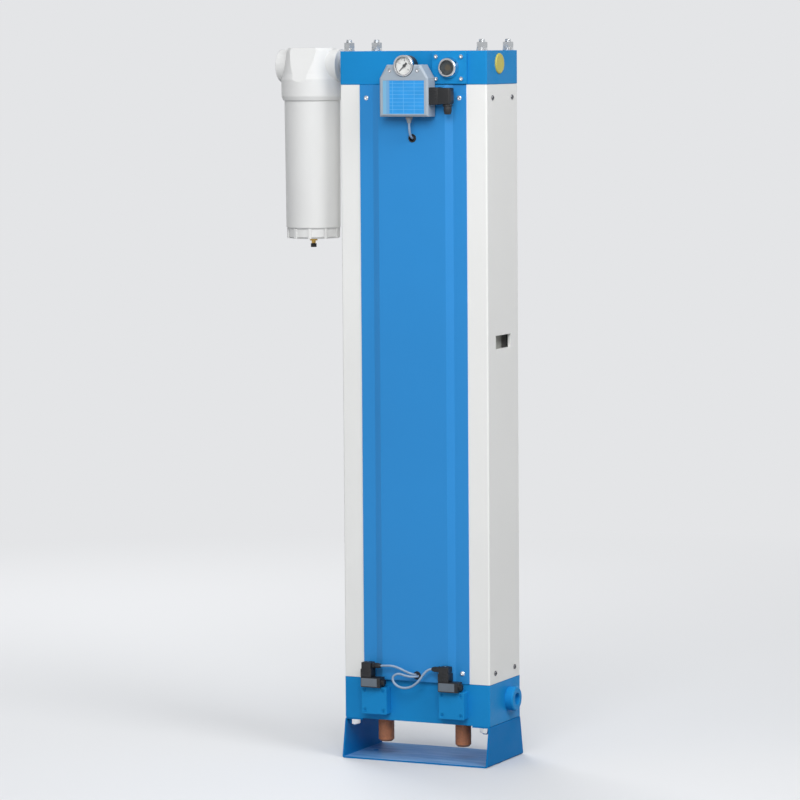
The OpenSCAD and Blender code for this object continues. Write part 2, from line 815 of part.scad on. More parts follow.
module o_rings() color(seal_black) {
    seal_r = column_bore / 2 - ring_wire_d / 2 - ring_slack;
    at_columns()
        for (z = [column_z0 + register_h / 2, column_z1 - register_h / 2])
            translate([0, 0, z]) ring(seal_r, ring_wire_d);
    for (z = [column_z0 - transfer_seat / 2, column_z1 + transfer_seat / 2])
        translate([0, 0, z]) ring(transfer_d / 2 + tube_ring_d / 2 + ring_slack, tube_ring_d);
    translate([filter_x, filter_y, collar_z0 + neck_h - neck_wall])
        ring(neck_d / 2 - ring_wire_d / 2 + seat_gap - ring_slack, ring_wire_d);
}

module desiccant_bed(side) color(bead_white)
    translate([side * column_x, 0, bed_z0])
        cylinder(d = column_bore - 4 * seat_gap, h = bed_z1 - bed_z0);

module strainer() difference() {
    cylinder(d = column_bore - 4 * seat_gap, h = strainer_t);
    for (row = [1:3], k = [0:6 * row - 1])
        rotate(60 * k / row) translate([row * column_bore / 7.5, 0, -past])
            cylinder(d = strainer_hole_d, h = strainer_t + 2 * past);
}

module bed_strainers() color(bright_steel) at_columns()
    for (z = [bed_z0 - strainer_t, bed_z1]) translate([0, 0, z]) strainer();

module bed_springs() color(bright_steel) at_columns()
    translate([0, 0, bed_z1 + strainer_t + ring_slack])
        coil_spring(bed_spring_d, bed_wire_d, bed_spring_h - 2 * ring_slack, 4);

// Sheet metal

module side_cover(side) color(cover_white) difference() {
    union() {
        translate([0, 0, cover_z0 + end_gap])
            linear_extrude(cover_h - 2 * end_gap) difference() {
                rounded_rect(tower_w, tower_d, fold_r);
                rounded_rect(tower_w - 2 * sheet_t, tower_d - 2 * sheet_t, fold_r - sheet_t);
                translate([-side * flange_w, 0]) square([tower_w, tower_d + 2 * past], center = true);
            }
        // Lip folded in round the hand window
        translate([side * (tower_w / 2 - window_lip / 2), 0, cover_z0 + window_rise])
            cube([window_lip, window_w + 2 * sheet_t, window_h + 2 * sheet_t], center = true);
    }
    translate([side * tower_w / 2, 0, cover_z0 + window_rise])
        cube([4 * window_lip, window_w, window_h], center = true);
    sheet_screw_holes();
}

module hat_panel(side) {
    b = panel_w / 2 - panel_land;
    c = b - panel_slope;
    inward = sheet_t * tan(atan2(panel_step, panel_slope) / 2);
    translate([0, side * tower_d / 2, cover_z0 + end_gap]) mirror([0, side < 0 ? 1 : 0, 0])
        linear_extrude(cover_h - 2 * end_gap) polygon([
            [panel_w / 2, sheet_t], [b, sheet_t], [c, panel_step + sheet_t],
            [-c, panel_step + sheet_t], [-b, sheet_t], [-panel_w / 2, sheet_t],
            [-panel_w / 2, 0], [-b + inward, 0], [-c + inward, panel_step],
            [c - inward, panel_step], [b - inward, 0], [panel_w / 2, 0]
        ]);
}

module front_panel() color(panel_blue) difference() {
    hat_panel(-1);
    sheet_screw_holes();
    for (g = [high_grommet, low_grommet])
        translate([g[0], panel_front_y - past, g[1]]) bar_y(grommet_neck_d, panel_step + sheet_t + past);
}

module rear_panel() color(panel_blue) difference() {
    hat_panel(1);
    sheet_screw_holes();
}

module sheet_screw() difference() {
    union() {
        translate([0, 0, -screw_len]) cylinder(d = screw_d, h = screw_len);
        rotate_extrude() polygon([
            [0, 0], [screw_head_d / 2, 0], [screw_head_d / 2, screw_head_h / 3],
            [screw_head_d / 2.4, screw_head_h * 0.7], [screw_head_d / 3.5, screw_head_h],
            [0, screw_head_h]
        ]);
    }
    translate([0, 0, screw_head_h / 2]) hexagon(screw_d * 0.6, screw_head_h);
}

module sheet_screws() color(bright_steel)
    for (z = [screw_z_low, screw_z_high]) at_sheet_screws(z, sheet_t) sheet_screw();

// Exhaust valves

module valve_cover(side) color(manifold_blue) difference() {
    translate([side * valve_x, cover_front_y, valve_axis_z])
        rotate([-90, 0, 0]) linear_extrude(valve_cover_t)
            rounded_rect(valve_cover_w, valve_cover_w, block_r);
    translate([side * valve_x, front_y - cover_recess_h, valve_axis_z])
        bar_y(spring_pocket_d - 2, cover_recess_h + past);
    // Pilot way forward out of the recess and up to the coil
    translate([side * valve_x, (cover_front_y + plug_rear_y) / 2, valve_axis_z]) {
        cylinder(d = m4_d, h = valve_cover_w);
        bar_y(m4_d, front_y - (cover_front_y + plug_rear_y) / 2);
    }
    for (kx = [-1, 1], kz = [-1, 1])
        translate([side * valve_x + kx * valve_screw_pitch / 2, cover_front_y - past,
                valve_axis_z + kz * valve_screw_pitch / 2]) {
            bar_y(m4_hole_d + 0.4, valve_cover_t + 2 * past);
            bar_y(m4_head_d + 0.6, m4_head_h + past + 0.5);
        }
}

module exhaust_piston(side) color(bare_aluminium)
    translate([side * valve_x, 0, valve_axis_z]) difference() {
        union() {
            translate([0, seat_y - poppet_gap - poppet_t, 0]) bar_y(poppet_d, poppet_t);
            translate([0, piston_front_y, 0]) bar_y(piston_stem_d, seat_y - poppet_gap - piston_front_y);
            translate([0, piston_front_y, 0]) bar_y(piston_d - 2 * run_gap, piston_head_l);
        }
        translate([0, piston_front_y - past, 0]) bar_y(spring_pocket_d, spring_pocket_h + past);
    }

module exhaust_spring(side) color(bright_steel) {
    y0 = front_y - cover_recess_h + ring_slack;
    y1 = piston_front_y + spring_pocket_h - ring_slack;
    translate([side * valve_x, y0, valve_axis_z]) rotate([-90, 0, 0])
        coil_spring(valve_spring_d, valve_wire_d, y1 - y0, 5);
}

module coil(side) color(plug_black)
    translate([side * valve_x, plug_rear_y - coil_d, valve_cover_z1]) {
        body_l = coil_l * 0.76;
        translate([coil_x0, 0, 0]) cube([body_l, coil_d, coil_h]);
        // Armature tube and its nut at the right end
        translate([coil_x0 + body_l, coil_d / 2, coil_h / 2]) bar_x(coil_h * 0.7, coil_l - body_l);
        translate([coil_x0 + body_l, 0, 0]) cube([(coil_l - body_l) / 2, coil_d, coil_h]);
    }

// A cable gland along +Z: hexagon, round nut and tapered mouth
module cable_gland(d, l) {
    hex_l = l / 4;
    nut_d = d - 1;
    mouth_l = l / 4;
    translate([0, 0, -past]) hexagon(d, hex_l + past);
    translate([0, 0, hex_l]) cylinder(d = nut_d, h = l - hex_l - mouth_l);
    translate([0, 0, l - mouth_l]) cylinder(d1 = nut_d, d2 = nut_d * 0.7, h = mouth_l);
}

// The stepped body of a plug along +Z: gasket, collar and hood
module plug_body(w, d, collar_l, l) {
    linear_extrude(plug_gasket_t)
        rounded_rect(w - 2 * plug_gasket_inset, d - 2 * plug_gasket_inset, plug_edge_r);
    translate([0, 0, plug_gasket_t]) linear_extrude(collar_l) rounded_rect(w, d, plug_edge_r);
    translate([0, 0, plug_gasket_t + collar_l]) linear_extrude(l - plug_gasket_t - collar_l)
        rounded_rect(w - 2 * hood_inset, d - 2 * hood_inset, hood_edge_r);
}

module valve_plug(side) color(plug_black)
    translate([side * valve_x + coil_x0 + plug_w / 2, plug_rear_y - coil_d / 2, coil_z1]) {
        plug_body(plug_w, coil_d, plug_h / 2, plug_h);
        translate([-side * (plug_w / 2 - hood_inset), 0, plug_gland_z - coil_z1])
            rotate([0, -side * 90, 0]) cable_gland(gland_d, gland_l + hood_inset);
    }

module exhaust_silencers() color(bronze)
    for (sx = [-1, 1]) translate([sx * valve_x, silencer_y, bottom_z]) {
        hex_h = 7;
        dome = 4;
        cylinder(d = silencer_thread_d - 2 * seat_gap, h = 10);
        translate([0, 0, -hex_h]) hexagon(silencer_d - 2, hex_h);
        translate([0, 0, dome - silencer_l]) cylinder(d = silencer_d, h = silencer_l - hex_h - dome);
        translate([0, 0, -silencer_l]) cylinder(d1 = silencer_d - 2 * dome, d2 = silencer_d, h = dome);
    }

// Shuttle valves

module shuttle_head() difference() {
    union() {
        bar_x(gallery_d - 2 * run_gap, shuttle_head_l);
        bar_x(shuttle_nose_d, shuttle_head_l + shuttle_nose_l);
    }
    for (k = [0:5]) rotate([60 * k, 0, 0])
        translate([-past, 0, gallery_d / 2]) bar_x(shuttle_notch_d, shuttle_head_l + 2 * past);
}

module shuttle(y, z) color(plug_black) translate([0, y, z]) {
    translate([-shuttle_head_x, 0, 0]) bar_x(shuttle_stem_d, 2 * shuttle_head_x);
    for (s = [0, 1]) mirror([s, 0, 0])
        translate([shuttle_head_x - shuttle_head_l, 0, 0]) shuttle_head();
}

module inlet_shuttle() shuttle(low_gallery_y, low_axis_z);
module outlet_shuttle() shuttle(high_gallery_y, port_axis_z);

module shuttle_seats() color(brass_tone)
    for (place = [[low_gallery_y, low_axis_z], [high_gallery_y, port_axis_z]], s = [0, 1])
        translate([0, place[0], place[1]]) mirror([s, 0, 0])
            translate([shuttle_seat_x, 0, 0]) difference() {
                bar_x(gallery_d - 2 * seat_gap, shuttle_seat_t);
                translate([-past, 0, 0]) bar_x(shuttle_seat_bore, shuttle_seat_t + 2 * past);
            }

// A cap that closes the end of a gallery, its flange towards +X
module end_cap() {
    edge = 2;
    rotate([0, 90, 0]) rotate_extrude() polygon([
        [0, -cap_thread_l], [gallery_d / 2 - seat_gap, -cap_thread_l], [gallery_d / 2 - seat_gap, 0],
        [cap_d / 2, 0], [cap_d / 2, cap_l - edge], [cap_d / 2 - edge, cap_l],
        [cap_d / 4, cap_l], [cap_d / 4, cap_l / 2], [0, cap_l / 2]
    ]);
}

module end_caps() color(manifold_blue) {
    translate([tower_w / 2, low_gallery_y, low_axis_z]) end_cap();
    translate([-tower_w / 2, low_gallery_y, low_axis_z]) mirror([1, 0, 0]) end_cap();
    translate([-tower_w / 2, high_gallery_y, port_axis_z]) mirror([1, 0, 0]) end_cap();
}

module outlet_plug() color([0.62, 0.62, 0.30]) {
    flange_t = 3;
    translate([tower_w / 2, -port_y, outlet_axis_z]) rotate([0, 90, 0]) rotate_extrude() polygon([
        [0, 0], [port_d / 2 - 2, -port_depth + 6], [port_d / 2 - seat_gap, -port_depth + 6],
        [port_d / 2 - seat_gap, 0], [outlet_plug_d / 2, 0], [outlet_plug_d / 2, flange_t / 2],
        [outlet_plug_d / 2 - 1.5, flange_t], [0, flange_t]
    ]);
}

// Pressure gauge, its axis along Y

module on_gauge(y) { translate([0, y, port_axis_z]) children(); }

module gauge_case() color(plug_black) {
    neck_l = 6;
    rear_y = gauge_front_y + gauge_depth;
    difference() {
        on_gauge(rim_y) bar_y(gauge_d, rear_y - rim_y);
        on_gauge(rim_y - past) bar_y(gauge_d - 2 * gauge_wall, rear_y - rim_y - 2 + past);
    }
    // Movement pillar and the pointer's spindle
    on_gauge(dial_y + dial_t) bar_y(pillar_d, rear_y - dial_y - dial_t - past);
    on_gauge(pointer_y) bar_y(spindle_d, dial_y + dial_t - pointer_y + past);
    on_gauge(rear_y) rotate([-90, 0, 0]) hexagon(gauge_stem_d + 2, front_y - rear_y);
    on_gauge(front_y) bar_y(gauge_stem_d, stem_seat);
    on_gauge(rear_y) bar_y(gauge_stem_d, neck_l);
}

module gauge_bezel() color([0.70, 0.70, 0.72])
    on_gauge(gauge_front_y) rotate([-90, 0, 0]) rotate_extrude() polygon([
        [lens_d / 2 - 1, 0], [gauge_bezel_d / 2 - 0.8, 0], [gauge_bezel_d / 2, 0.8],
        [gauge_bezel_d / 2, rim_y - gauge_front_y + 3],
        [gauge_d / 2 + seat_gap, rim_y - gauge_front_y + 3],
        [gauge_d / 2 + seat_gap, rim_y - gauge_front_y], [lens_d / 2 + seat_gap, rim_y - gauge_front_y],
        [lens_d / 2 + seat_gap, gauge_lip_t], [lens_d / 2 - 1, gauge_lip_t]
    ]);

module gauge_dial() color([0.95, 0.95, 0.94]) difference() {
    on_gauge(dial_y) bar_y(gauge_d - 2 * gauge_wall - 2 * seat_gap, dial_t);
    on_gauge(dial_y - past) bar_y(2 * spindle_d, dial_t + 2 * past);
}

module gauge_pointer() color([0.10, 0.10, 0.10]) difference() {
    on_gauge(pointer_y) rotate([0, -pointer_zero, 0]) {
        rotate([90, 0, 0]) linear_extrude(pointer_t, center = true) {
            circle(d = pointer_hub_d);
            polygon([
                [0, pointer_w / 2], [pointer_l, pointer_tip_w / 2],
                [pointer_l, -pointer_tip_w / 2], [0, -pointer_w / 2]
            ]);
            polygon([
                [0, pointer_w / 2], [-tail_l, tail_w / 2], [-tail_l, -tail_w / 2], [0, -pointer_w / 2]
            ]);
        }
        translate([0, -pointer_t, 0]) bar_y(3.6, 2 * pointer_t);
    }
    on_gauge(pointer_y - run_gap) bar_y(spindle_d + 2 * run_gap, dial_t * 4);
}

module gauge_lens() color([0.85, 0.90, 0.92, 0.3])
    on_gauge(gauge_front_y + gauge_lip_t) bar_y(lens_d, lens_t);

// Controller

module box_outline(inset) {
    hw = box_w / 2 - inset;
    cw = box_corner_w;
    ch = box_corner_h;
    polygon([
        [-hw, inset], [hw, inset], [hw, box_h - ch - inset / 3], [hw - cw, box_h - inset],
        [-hw + cw, box_h - inset], [-hw, box_h - ch - inset / 3]
    ]);
}

// A slab of the box outline that starts at y and runs back by depth
module box_slab(y, depth, inset) {
    translate([0, y + depth, box_z0]) rotate([90, 0, 0]) linear_extrude(depth) box_outline(inset);
}

module controller_housing() color([0.66, 0.67, 0.68]) difference() {
    union() {
        difference() {
            hull() {
                box_slab(box_front_y, box_bevel, box_bevel);
                box_slab(box_front_y + box_bevel, box_rear_y - box_front_y - box_bevel, 0);
            }
            box_slab(box_front_y + 2 * box_bevel, box_depth - 2 * box_bevel - box_wall, box_wall);
        }
        // Bosses that stand on the manifold
        for (sx = [-1, 1]) translate([sx * box_screw_pitch / 2, box_front_y + box_bevel, box_screw_z])
            bar_y(box_boss_d, box_reach - box_bevel);
        intersection() {
            on_gauge(box_front_y) bar_y(gauge_notch_d + 2 * box_wall, box_rear_y - box_front_y);
            box_slab(box_front_y + box_bevel, box_reach, 0);
        }
    }
    on_gauge(box_front_y - past) bar_y(gauge_notch_d, box_reach + 2 * past);
    translate([-label_w / 2, box_front_y - past, label_z0]) cube([label_w, label_t + past, label_h]);
    for (sx = [-1, 1]) translate([sx * box_screw_pitch / 2, box_front_y - past, box_screw_z]) {
        bar_y(m4_hole_d + 0.4, box_reach + 2 * past);
        bar_y(m4_head_d + 0.6, m4_head_h + past + 0.5);
    }
    translate([gland_x, gland_y, box_z0 - past]) cylinder(d = 8 + 2 * seat_gap, h = box_wall + 2 * past);
}

module controller_board() color([0.10, 0.35, 0.18]) {
    board_t = 1.6;
    board_w = box_w - 2 * box_wall - 2;
    board_h = box_h / 2;
    standoff = 8;
    board_y = box_front_y + 2 * box_bevel + standoff;
    translate([-board_w / 2, board_y, box_z0 + box_wall]) cube([board_w, board_t, board_h]);
    for (sx = [-1, 1], z = [8, board_h - 8])
        translate([sx * (board_w / 2 - 8), box_front_y + 2 * box_bevel, box_z0 + box_wall + z])
            bar_y(5, standoff + board_t / 2);
    translate([-18, board_y + board_t, box_z0 + box_wall + 14]) cube([36, 8, 18]);
}

module controller_label() color(panel_blue)
    translate([-label_w / 2 + seat_gap, box_front_y, label_z0 + seat_gap])
        cube([label_w - 2 * seat_gap, label_t, label_h - 2 * seat_gap]);

module controller_gland() color([0.55, 0.56, 0.58]) translate([gland_x, gland_y, box_z0]) {
    nut_l = 5;
    cylinder(d = 8, h = box_wall);
    translate([0, 0, -nut_l]) hexagon(12, nut_l);
    translate([0, 0, -gland_drop]) cylinder(d1 = 7, d2 = 10, h = gland_drop - nut_l);
}

module power_plug() color(plug_black)
    translate([box_w / 2, power_plug_y, power_plug_z]) {
        rotate([0, 90, 0]) plug_body(power_plug_h, power_plug_d, power_collar_l, power_plug_l);
        translate([power_plug_l - power_gland_d / 2 - hood_inset, 0, hood_inset - power_plug_h / 2])
            rotate([180, 0, 0]) cable_gland(power_gland_d, power_gland_l + hood_inset);
    }

module lead_grommets() color(seal_black)
    for (g = [high_grommet, low_grommet])
        translate([g[0], panel_front_y, g[1]]) rotate([-90, 0, 0]) rotate_extrude() polygon([
            [grommet_bore / 2, -grommet_flange_t], [grommet_flange_d / 2 - 1, -grommet_flange_t],
            [grommet_flange_d / 2, 0], [grommet_neck_d / 2 - seat_gap, 0],
            [grommet_neck_d / 2 - seat_gap, sheet_t], [grommet_flange_d / 2, sheet_t],
            [grommet_flange_d / 2 - 1, sheet_t + grommet_flange_t],
            [grommet_bore / 2, sheet_t + grommet_flange_t]
        ]);

module controller_lead() color(lead_grey) tube_along(controller_route, lead_d);
module left_valve_lead() color(lead_grey) tube_along(left_route, lead_d);
module right_valve_lead() color(lead_grey) tube_along(right_route, lead_d);

// A socket-head screw whose head rests at the origin, shank along +Y
module cap_screw(l) difference() {
    union() {
        bar_y(m4_d, l);
        translate([0, -m4_head_h, 0]) bar_y(m4_head_d, m4_head_h + 0.01);
    }
    translate([0, -m4_head_h - past, 0]) rotate([-90, 0, 0]) hexagon(3, m4_head_h / 2 + past);
}

module cap_screws() color(bright_steel) {
    head_seat = m4_head_h + 0.5;
    for (side = [-1, 1], kx = [-1, 1], kz = [-1, 1])
        translate([side * valve_x + kx * valve_screw_pitch / 2, cover_front_y + head_seat,
                valve_axis_z + kz * valve_screw_pitch / 2])
            cap_screw(valve_cover_t - head_seat + m4_grip);
    for (kx = [-1, 1], kz = [-1, 1])
        translate([indicator_x + kx * indicator_pitch_x / 2, front_y - indicator_t,
                indicator_z + kz * indicator_pitch_z / 2])
            cap_screw(indicator_t + m4_grip);
    for (sx = [-1, 1])
        translate([sx * box_screw_pitch / 2, box_front_y + head_seat, box_screw_z])
            cap_screw(box_reach - head_seat + m4_grip);
}

// Moisture indicator

module on_indicator(y) { translate([indicator_x, y, indicator_z]) children(); }

module indicator_flange() color(manifold_blue) difference() {
    on_indicator(front_y - indicator_t) rotate([-90, 0, 0])
        linear_extrude(indicator_t) rounded_rect(indicator_w, indicator_h, block_r);
    on_indicator(front_y - indicator_t - past) {
        bar_y(bezel_skirt_d + 2 * seat_gap, indicator_t + 2 * past);
        for (kx = [-1, 1], kz = [-1, 1])
            translate([kx * indicator_pitch_x / 2, 0, kz * indicator_pitch_z / 2])
                bar_y(m4_hole_d + 0.4, indicator_t + 2 * past);
    }
}

module indicator_bezel() color([0.80, 0.80, 0.82])
    on_indicator(front_y - indicator_t - bezel_l) rotate([-90, 0, 0]) rotate_extrude() polygon([
        [sight_d / 2 - bezel_lip, 0], [bezel_front_d / 2 - 1, 0], [bezel_front_d / 2, 1],
        [bezel_d / 2, bezel_l - 3], [bezel_d / 2, bezel_l], [bezel_skirt_d / 2, bezel_l],
        [bezel_skirt_d / 2, bezel_l + indicator_t], [sight_d / 2, bezel_l + indicator_t],
        [sight_d / 2, bezel_lip_t], [sight_d / 2 - bezel_lip, bezel_lip_t]
    ]);

module indicator_glass() color([0.20, 0.20, 0.20, 0.5])
    on_indicator(sight_y) bar_y(sight_d - 2 * seat_gap, sight_t);

module indicator_card() color(brass_tone)
    on_indicator(sight_y + sight_t) bar_y(sight_d - 2 * seat_gap, card_t);

// Prefilter

module on_filter(z) { translate([filter_x, filter_y, z]) children(); }

module filter_nipple() color(bright_steel) difference() {
    nipple_l = filter_gap + 2 * (port_depth - 4);
    union() {
        translate([-tower_w / 2 - filter_gap / 2 - nipple_l / 2, -port_y, port_axis_z])
            bar_x(port_d - 2 * seat_gap, nipple_l);
        translate([-tower_w / 2 - filter_gap * 3 / 4, -port_y, port_axis_z])
            rotate([0, 90, 0]) hexagon(port_d + 6, filter_gap / 2);
    }
    translate([-tower_w / 2 - filter_gap / 2 - nipple_l / 2 - past, -port_y, port_axis_z])
        bar_x(port_d - 7, nipple_l + 2 * past);
}

// Section that runs through the head along X: front and rear lean in from the collar to the top
module head_flats() {
    foot_y = collar_d / 2 + past;
    foot_z = head_z1 - (foot_y - head_depth / 2) / tan(head_lean);
    crest_y = head_depth / 2 - past * tan(head_lean);
    rotate([90, 0, 90]) linear_extrude(collar_d + 2 * past, center = true) polygon([
        [-foot_y, collar_z0 - past], [foot_y, collar_z0 - past], [foot_y, foot_z],
        [crest_y, head_z1 + past], [-crest_y, head_z1 + past], [-foot_y, foot_z]
    ]);
}

module filter_head() color(filter_white) difference() {
    union() {
        on_filter(0) intersection() {
            rotate_extrude() polygon([
                [0, collar_z0], [collar_d / 2 - 3, collar_z0], [collar_d / 2, collar_z0 + 8],
                [collar_d / 2, collar_z0 + 40], [collar_d / 2 - 3, collar_z0 + 50],
                [collar_d / 2 - 11, head_z1 - 6], [collar_d / 2 - 14, head_z1], [0, head_z1]
            ]);
            head_flats();
        }
        on_filter(port_axis_z) translate([-head_l / 2, 0, 0]) bar_x(boss_d, head_l);
    }
    on_filter(collar_z0 - past) cylinder(d = neck_d + 2 * seat_gap, h = neck_h + 1 + past);
    on_filter(port_axis_z) {
        // Inlet port, opening down round the element
        translate([-head_l / 2 - past, 0, 0]) bar_x(port_d, port_depth + past);
        translate([-head_l / 2, 0, 0]) bar_x(passage_d, port_depth + passage_d);
        translate([-head_l / 2 + port_depth + passage_d / 2, 0, -collar_drop + neck_h])
            cylinder(d = cross_d, h = collar_drop - neck_h);
        // Outlet port, coming up out of the element
        translate([head_l / 2 - port_depth, 0, 0]) bar_x(port_d, port_depth + past);
        bar_x(passage_d, head_l / 2);
        translate([0, 0, -collar_drop + neck_h]) cylinder(d = element_port_d, h = collar_drop - neck_h);
    }
}

module filter_bowl() color(filter_white) {
    foot_r = bowl_d / 2 - bowl_taper - bowl_foot_step;
    foot_z = bowl_z0 + bowl_foot_h;
    difference() {
        on_filter(0) rotate_extrude() polygon([
            [drain_thread_d / 2, bowl_z0], [foot_r - 3, bowl_z0], [foot_r, bowl_z0 + 3], [foot_r, foot_z],
            [bowl_d / 2 - bowl_taper, foot_z + 3], [bowl_d / 2, collar_z0], [neck_d / 2, collar_z0],
            [neck_d / 2, collar_z0 + neck_h], [neck_d / 2 - neck_wall, collar_z0 + neck_h],
            [neck_d / 2 - neck_wall, collar_z0], [foot_r - bowl_wall, foot_z],
            [foot_r - bowl_wall - 4, bowl_z0 + bowl_floor], [drain_thread_d / 2, bowl_z0 + bowl_floor]
        ]);
        // Groove for the bowl seal
        on_filter(collar_z0 + neck_h - neck_wall - ring_groove_h / 2) difference() {
            cylinder(d = neck_d + 2, h = ring_groove_h);
            translate([0, 0, -past])
                cylinder(r = bowl_groove_r, h = ring_groove_h + 2 * past);
        }
    }
    for (k = [0:bowl_ribs - 1]) on_filter(bowl_z0) rotate(360 * k / bowl_ribs)
        translate([foot_r - 2, -rib_w / 2, 0]) cube([rib_t + 1.5, rib_w, bowl_foot_h + 1]);
}

module filter_element() color([0.85, 0.83, 0.76]) difference() {
    union() {
        on_filter(element_z0) cylinder(d = element_d, h = element_z1 - element_z0);
        for (z = [element_z0, element_z1 - element_cap_t])
            on_filter(z) cylinder(d = element_d + 4, h = element_cap_t);
        // Neck that plugs into the head
        on_filter(element_z1)
            cylinder(d = element_port_d - 2 * seat_gap, h = collar_z0 + neck_h + 13 - element_z1);
    }
    on_filter(element_z0 + element_cap_t) cylinder(d = element_port_d - 8, h = bowl_l);
    on_filter(element_z0 + element_cap_t)
        cylinder(d = element_d - 2 * element_wall, h = element_z1 - element_z0 - 2 * element_cap_t);
}

module drain_body() color(brass_tone) difference() {
    union() {
        on_filter(bowl_z0) cylinder(d = drain_thread_d - 2 * seat_gap, h = bowl_floor);
        on_filter(bowl_z0 - drain_hex_h) hexagon(drain_hex_af, drain_hex_h);
        on_filter(drain_z0) cylinder(d = drain_nozzle_d, h = drain_nozzle_l);
    }
    on_filter(drain_z0 - past)
        cylinder(d = drain_bore, h = bowl_z0 - drain_z0 + bowl_floor + 2 * past);
}

module drain_knob() color(plug_black) {
    knob_z1 = drain_z0 - knob_gap;
    on_filter(knob_z1 - knob_h) difference() {
        cylinder(d = knob_d, h = knob_h);
        for (k = [0:7]) rotate(45 * k) translate([knob_d / 2 + 0.6, 0, -past])
            cylinder(d = 3, h = knob_h + 2 * past);
    }
    on_filter(knob_z1 - past)
        cylinder(d = drain_bore - 2 * run_gap, h = bowl_z0 - drain_z0 + past);
}

base_bracket();
bottom_manifold();
top_manifold();
tie_rods();
tie_rod_nuts();
tie_rod_washers();
column(-1);  // left_column
column(1);  // right_column
transfer_tube();
o_rings();
desiccant_bed(-1);  // left_desiccant_bed
desiccant_bed(1);  // right_desiccant_bed
bed_strainers();
bed_springs();
side_cover(-1);  // left_side_cover
side_cover(1);  // right_side_cover
front_panel();
rear_panel();
sheet_screws();
gauge_case();
gauge_bezel();
gauge_dial();
gauge_pointer();
gauge_lens();
controller_housing();
controller_board();
controller_label();
controller_gland();
controller_lead();
lead_grommets();
power_plug();
cap_screws();
indicator_flange();
indicator_bezel();
indicator_glass();
indicator_card();
outlet_plug();
inlet_shuttle();
outlet_shuttle();
shuttle_seats();
end_caps();
valve_cover(-1);  // left_valve_cover
valve_cover(1);  // right_valve_cover
exhaust_piston(-1);  // left_exhaust_piston
exhaust_piston(1);  // right_exhaust_piston
exhaust_spring(-1);  // left_exhaust_spring
exhaust_spring(1);  // right_exhaust_spring
coil(-1);  // left_coil
coil(1);  // right_coil
valve_plug(-1);  // left_valve_plug
valve_plug(1);  // right_valve_plug
left_valve_lead();
right_valve_lead();
exhaust_silencers();
filter_nipple();
filter_head();
filter_bowl();
filter_element();
drain_body();
drain_knob();
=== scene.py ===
import json
import math

import bmesh
import bpy
from mathutils import Matrix, Vector


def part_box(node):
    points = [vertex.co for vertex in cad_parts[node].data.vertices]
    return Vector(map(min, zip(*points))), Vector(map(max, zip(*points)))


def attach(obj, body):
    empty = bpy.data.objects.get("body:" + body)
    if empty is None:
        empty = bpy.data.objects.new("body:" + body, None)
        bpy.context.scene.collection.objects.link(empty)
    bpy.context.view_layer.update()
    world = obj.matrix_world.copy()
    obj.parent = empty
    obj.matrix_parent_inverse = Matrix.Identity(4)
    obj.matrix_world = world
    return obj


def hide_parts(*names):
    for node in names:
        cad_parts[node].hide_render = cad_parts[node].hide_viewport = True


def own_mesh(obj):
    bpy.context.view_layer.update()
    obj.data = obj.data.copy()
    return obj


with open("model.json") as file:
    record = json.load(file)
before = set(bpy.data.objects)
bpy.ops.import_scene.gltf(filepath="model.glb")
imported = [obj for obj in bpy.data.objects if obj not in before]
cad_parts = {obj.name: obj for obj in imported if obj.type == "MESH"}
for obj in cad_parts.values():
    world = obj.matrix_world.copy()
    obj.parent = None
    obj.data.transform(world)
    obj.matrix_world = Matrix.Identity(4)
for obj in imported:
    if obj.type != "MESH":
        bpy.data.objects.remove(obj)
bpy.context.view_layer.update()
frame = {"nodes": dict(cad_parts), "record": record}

MM = 0.001
nodes = frame["nodes"]
record = frame["record"]
scene = bpy.context.scene
scene.view_settings.view_transform = "Standard"


# Camera at the photograph's angle: place in metres, angles in degrees, lens and sensor in millimetres

CAMERA_PLACE = (3.1594, -6.8816, 1.3580)
CAMERA_YAW = -25.0998
CAMERA_PITCH = 5.1184
CAMERA_ROLL = -0.4055
CAMERA_LENS = 181.27
CAMERA_SENSOR = 36
CAMERA_REACH = 100


def place_camera():
    yaw = math.radians(CAMERA_YAW)
    pitch = math.radians(CAMERA_PITCH)
    roll = math.radians(CAMERA_ROLL)
    forward = Vector((
        math.sin(yaw) * math.cos(pitch),
        math.cos(yaw) * math.cos(pitch),
        -math.sin(pitch),
    ))
    level = Vector((math.cos(yaw), -math.sin(yaw), 0))
    upright = level.cross(forward)
    right = math.cos(roll) * level + math.sin(roll) * upright
    up = math.cos(roll) * upright - math.sin(roll) * level
    data = bpy.data.cameras.new("camera")
    data.sensor_width = CAMERA_SENSOR
    data.sensor_height = CAMERA_SENSOR
    data.lens = CAMERA_LENS
    data.clip_end = CAMERA_REACH
    camera = bpy.data.objects.new("camera", data)
    matrix = Matrix((right, up, -forward)).transposed().to_4x4()
    matrix.translation = Vector(CAMERA_PLACE)
    camera.matrix_world = matrix
    scene.collection.objects.link(camera)
    scene.camera = camera


place_camera()


# Leads, along the same points as their solids, with the routes in millimetres

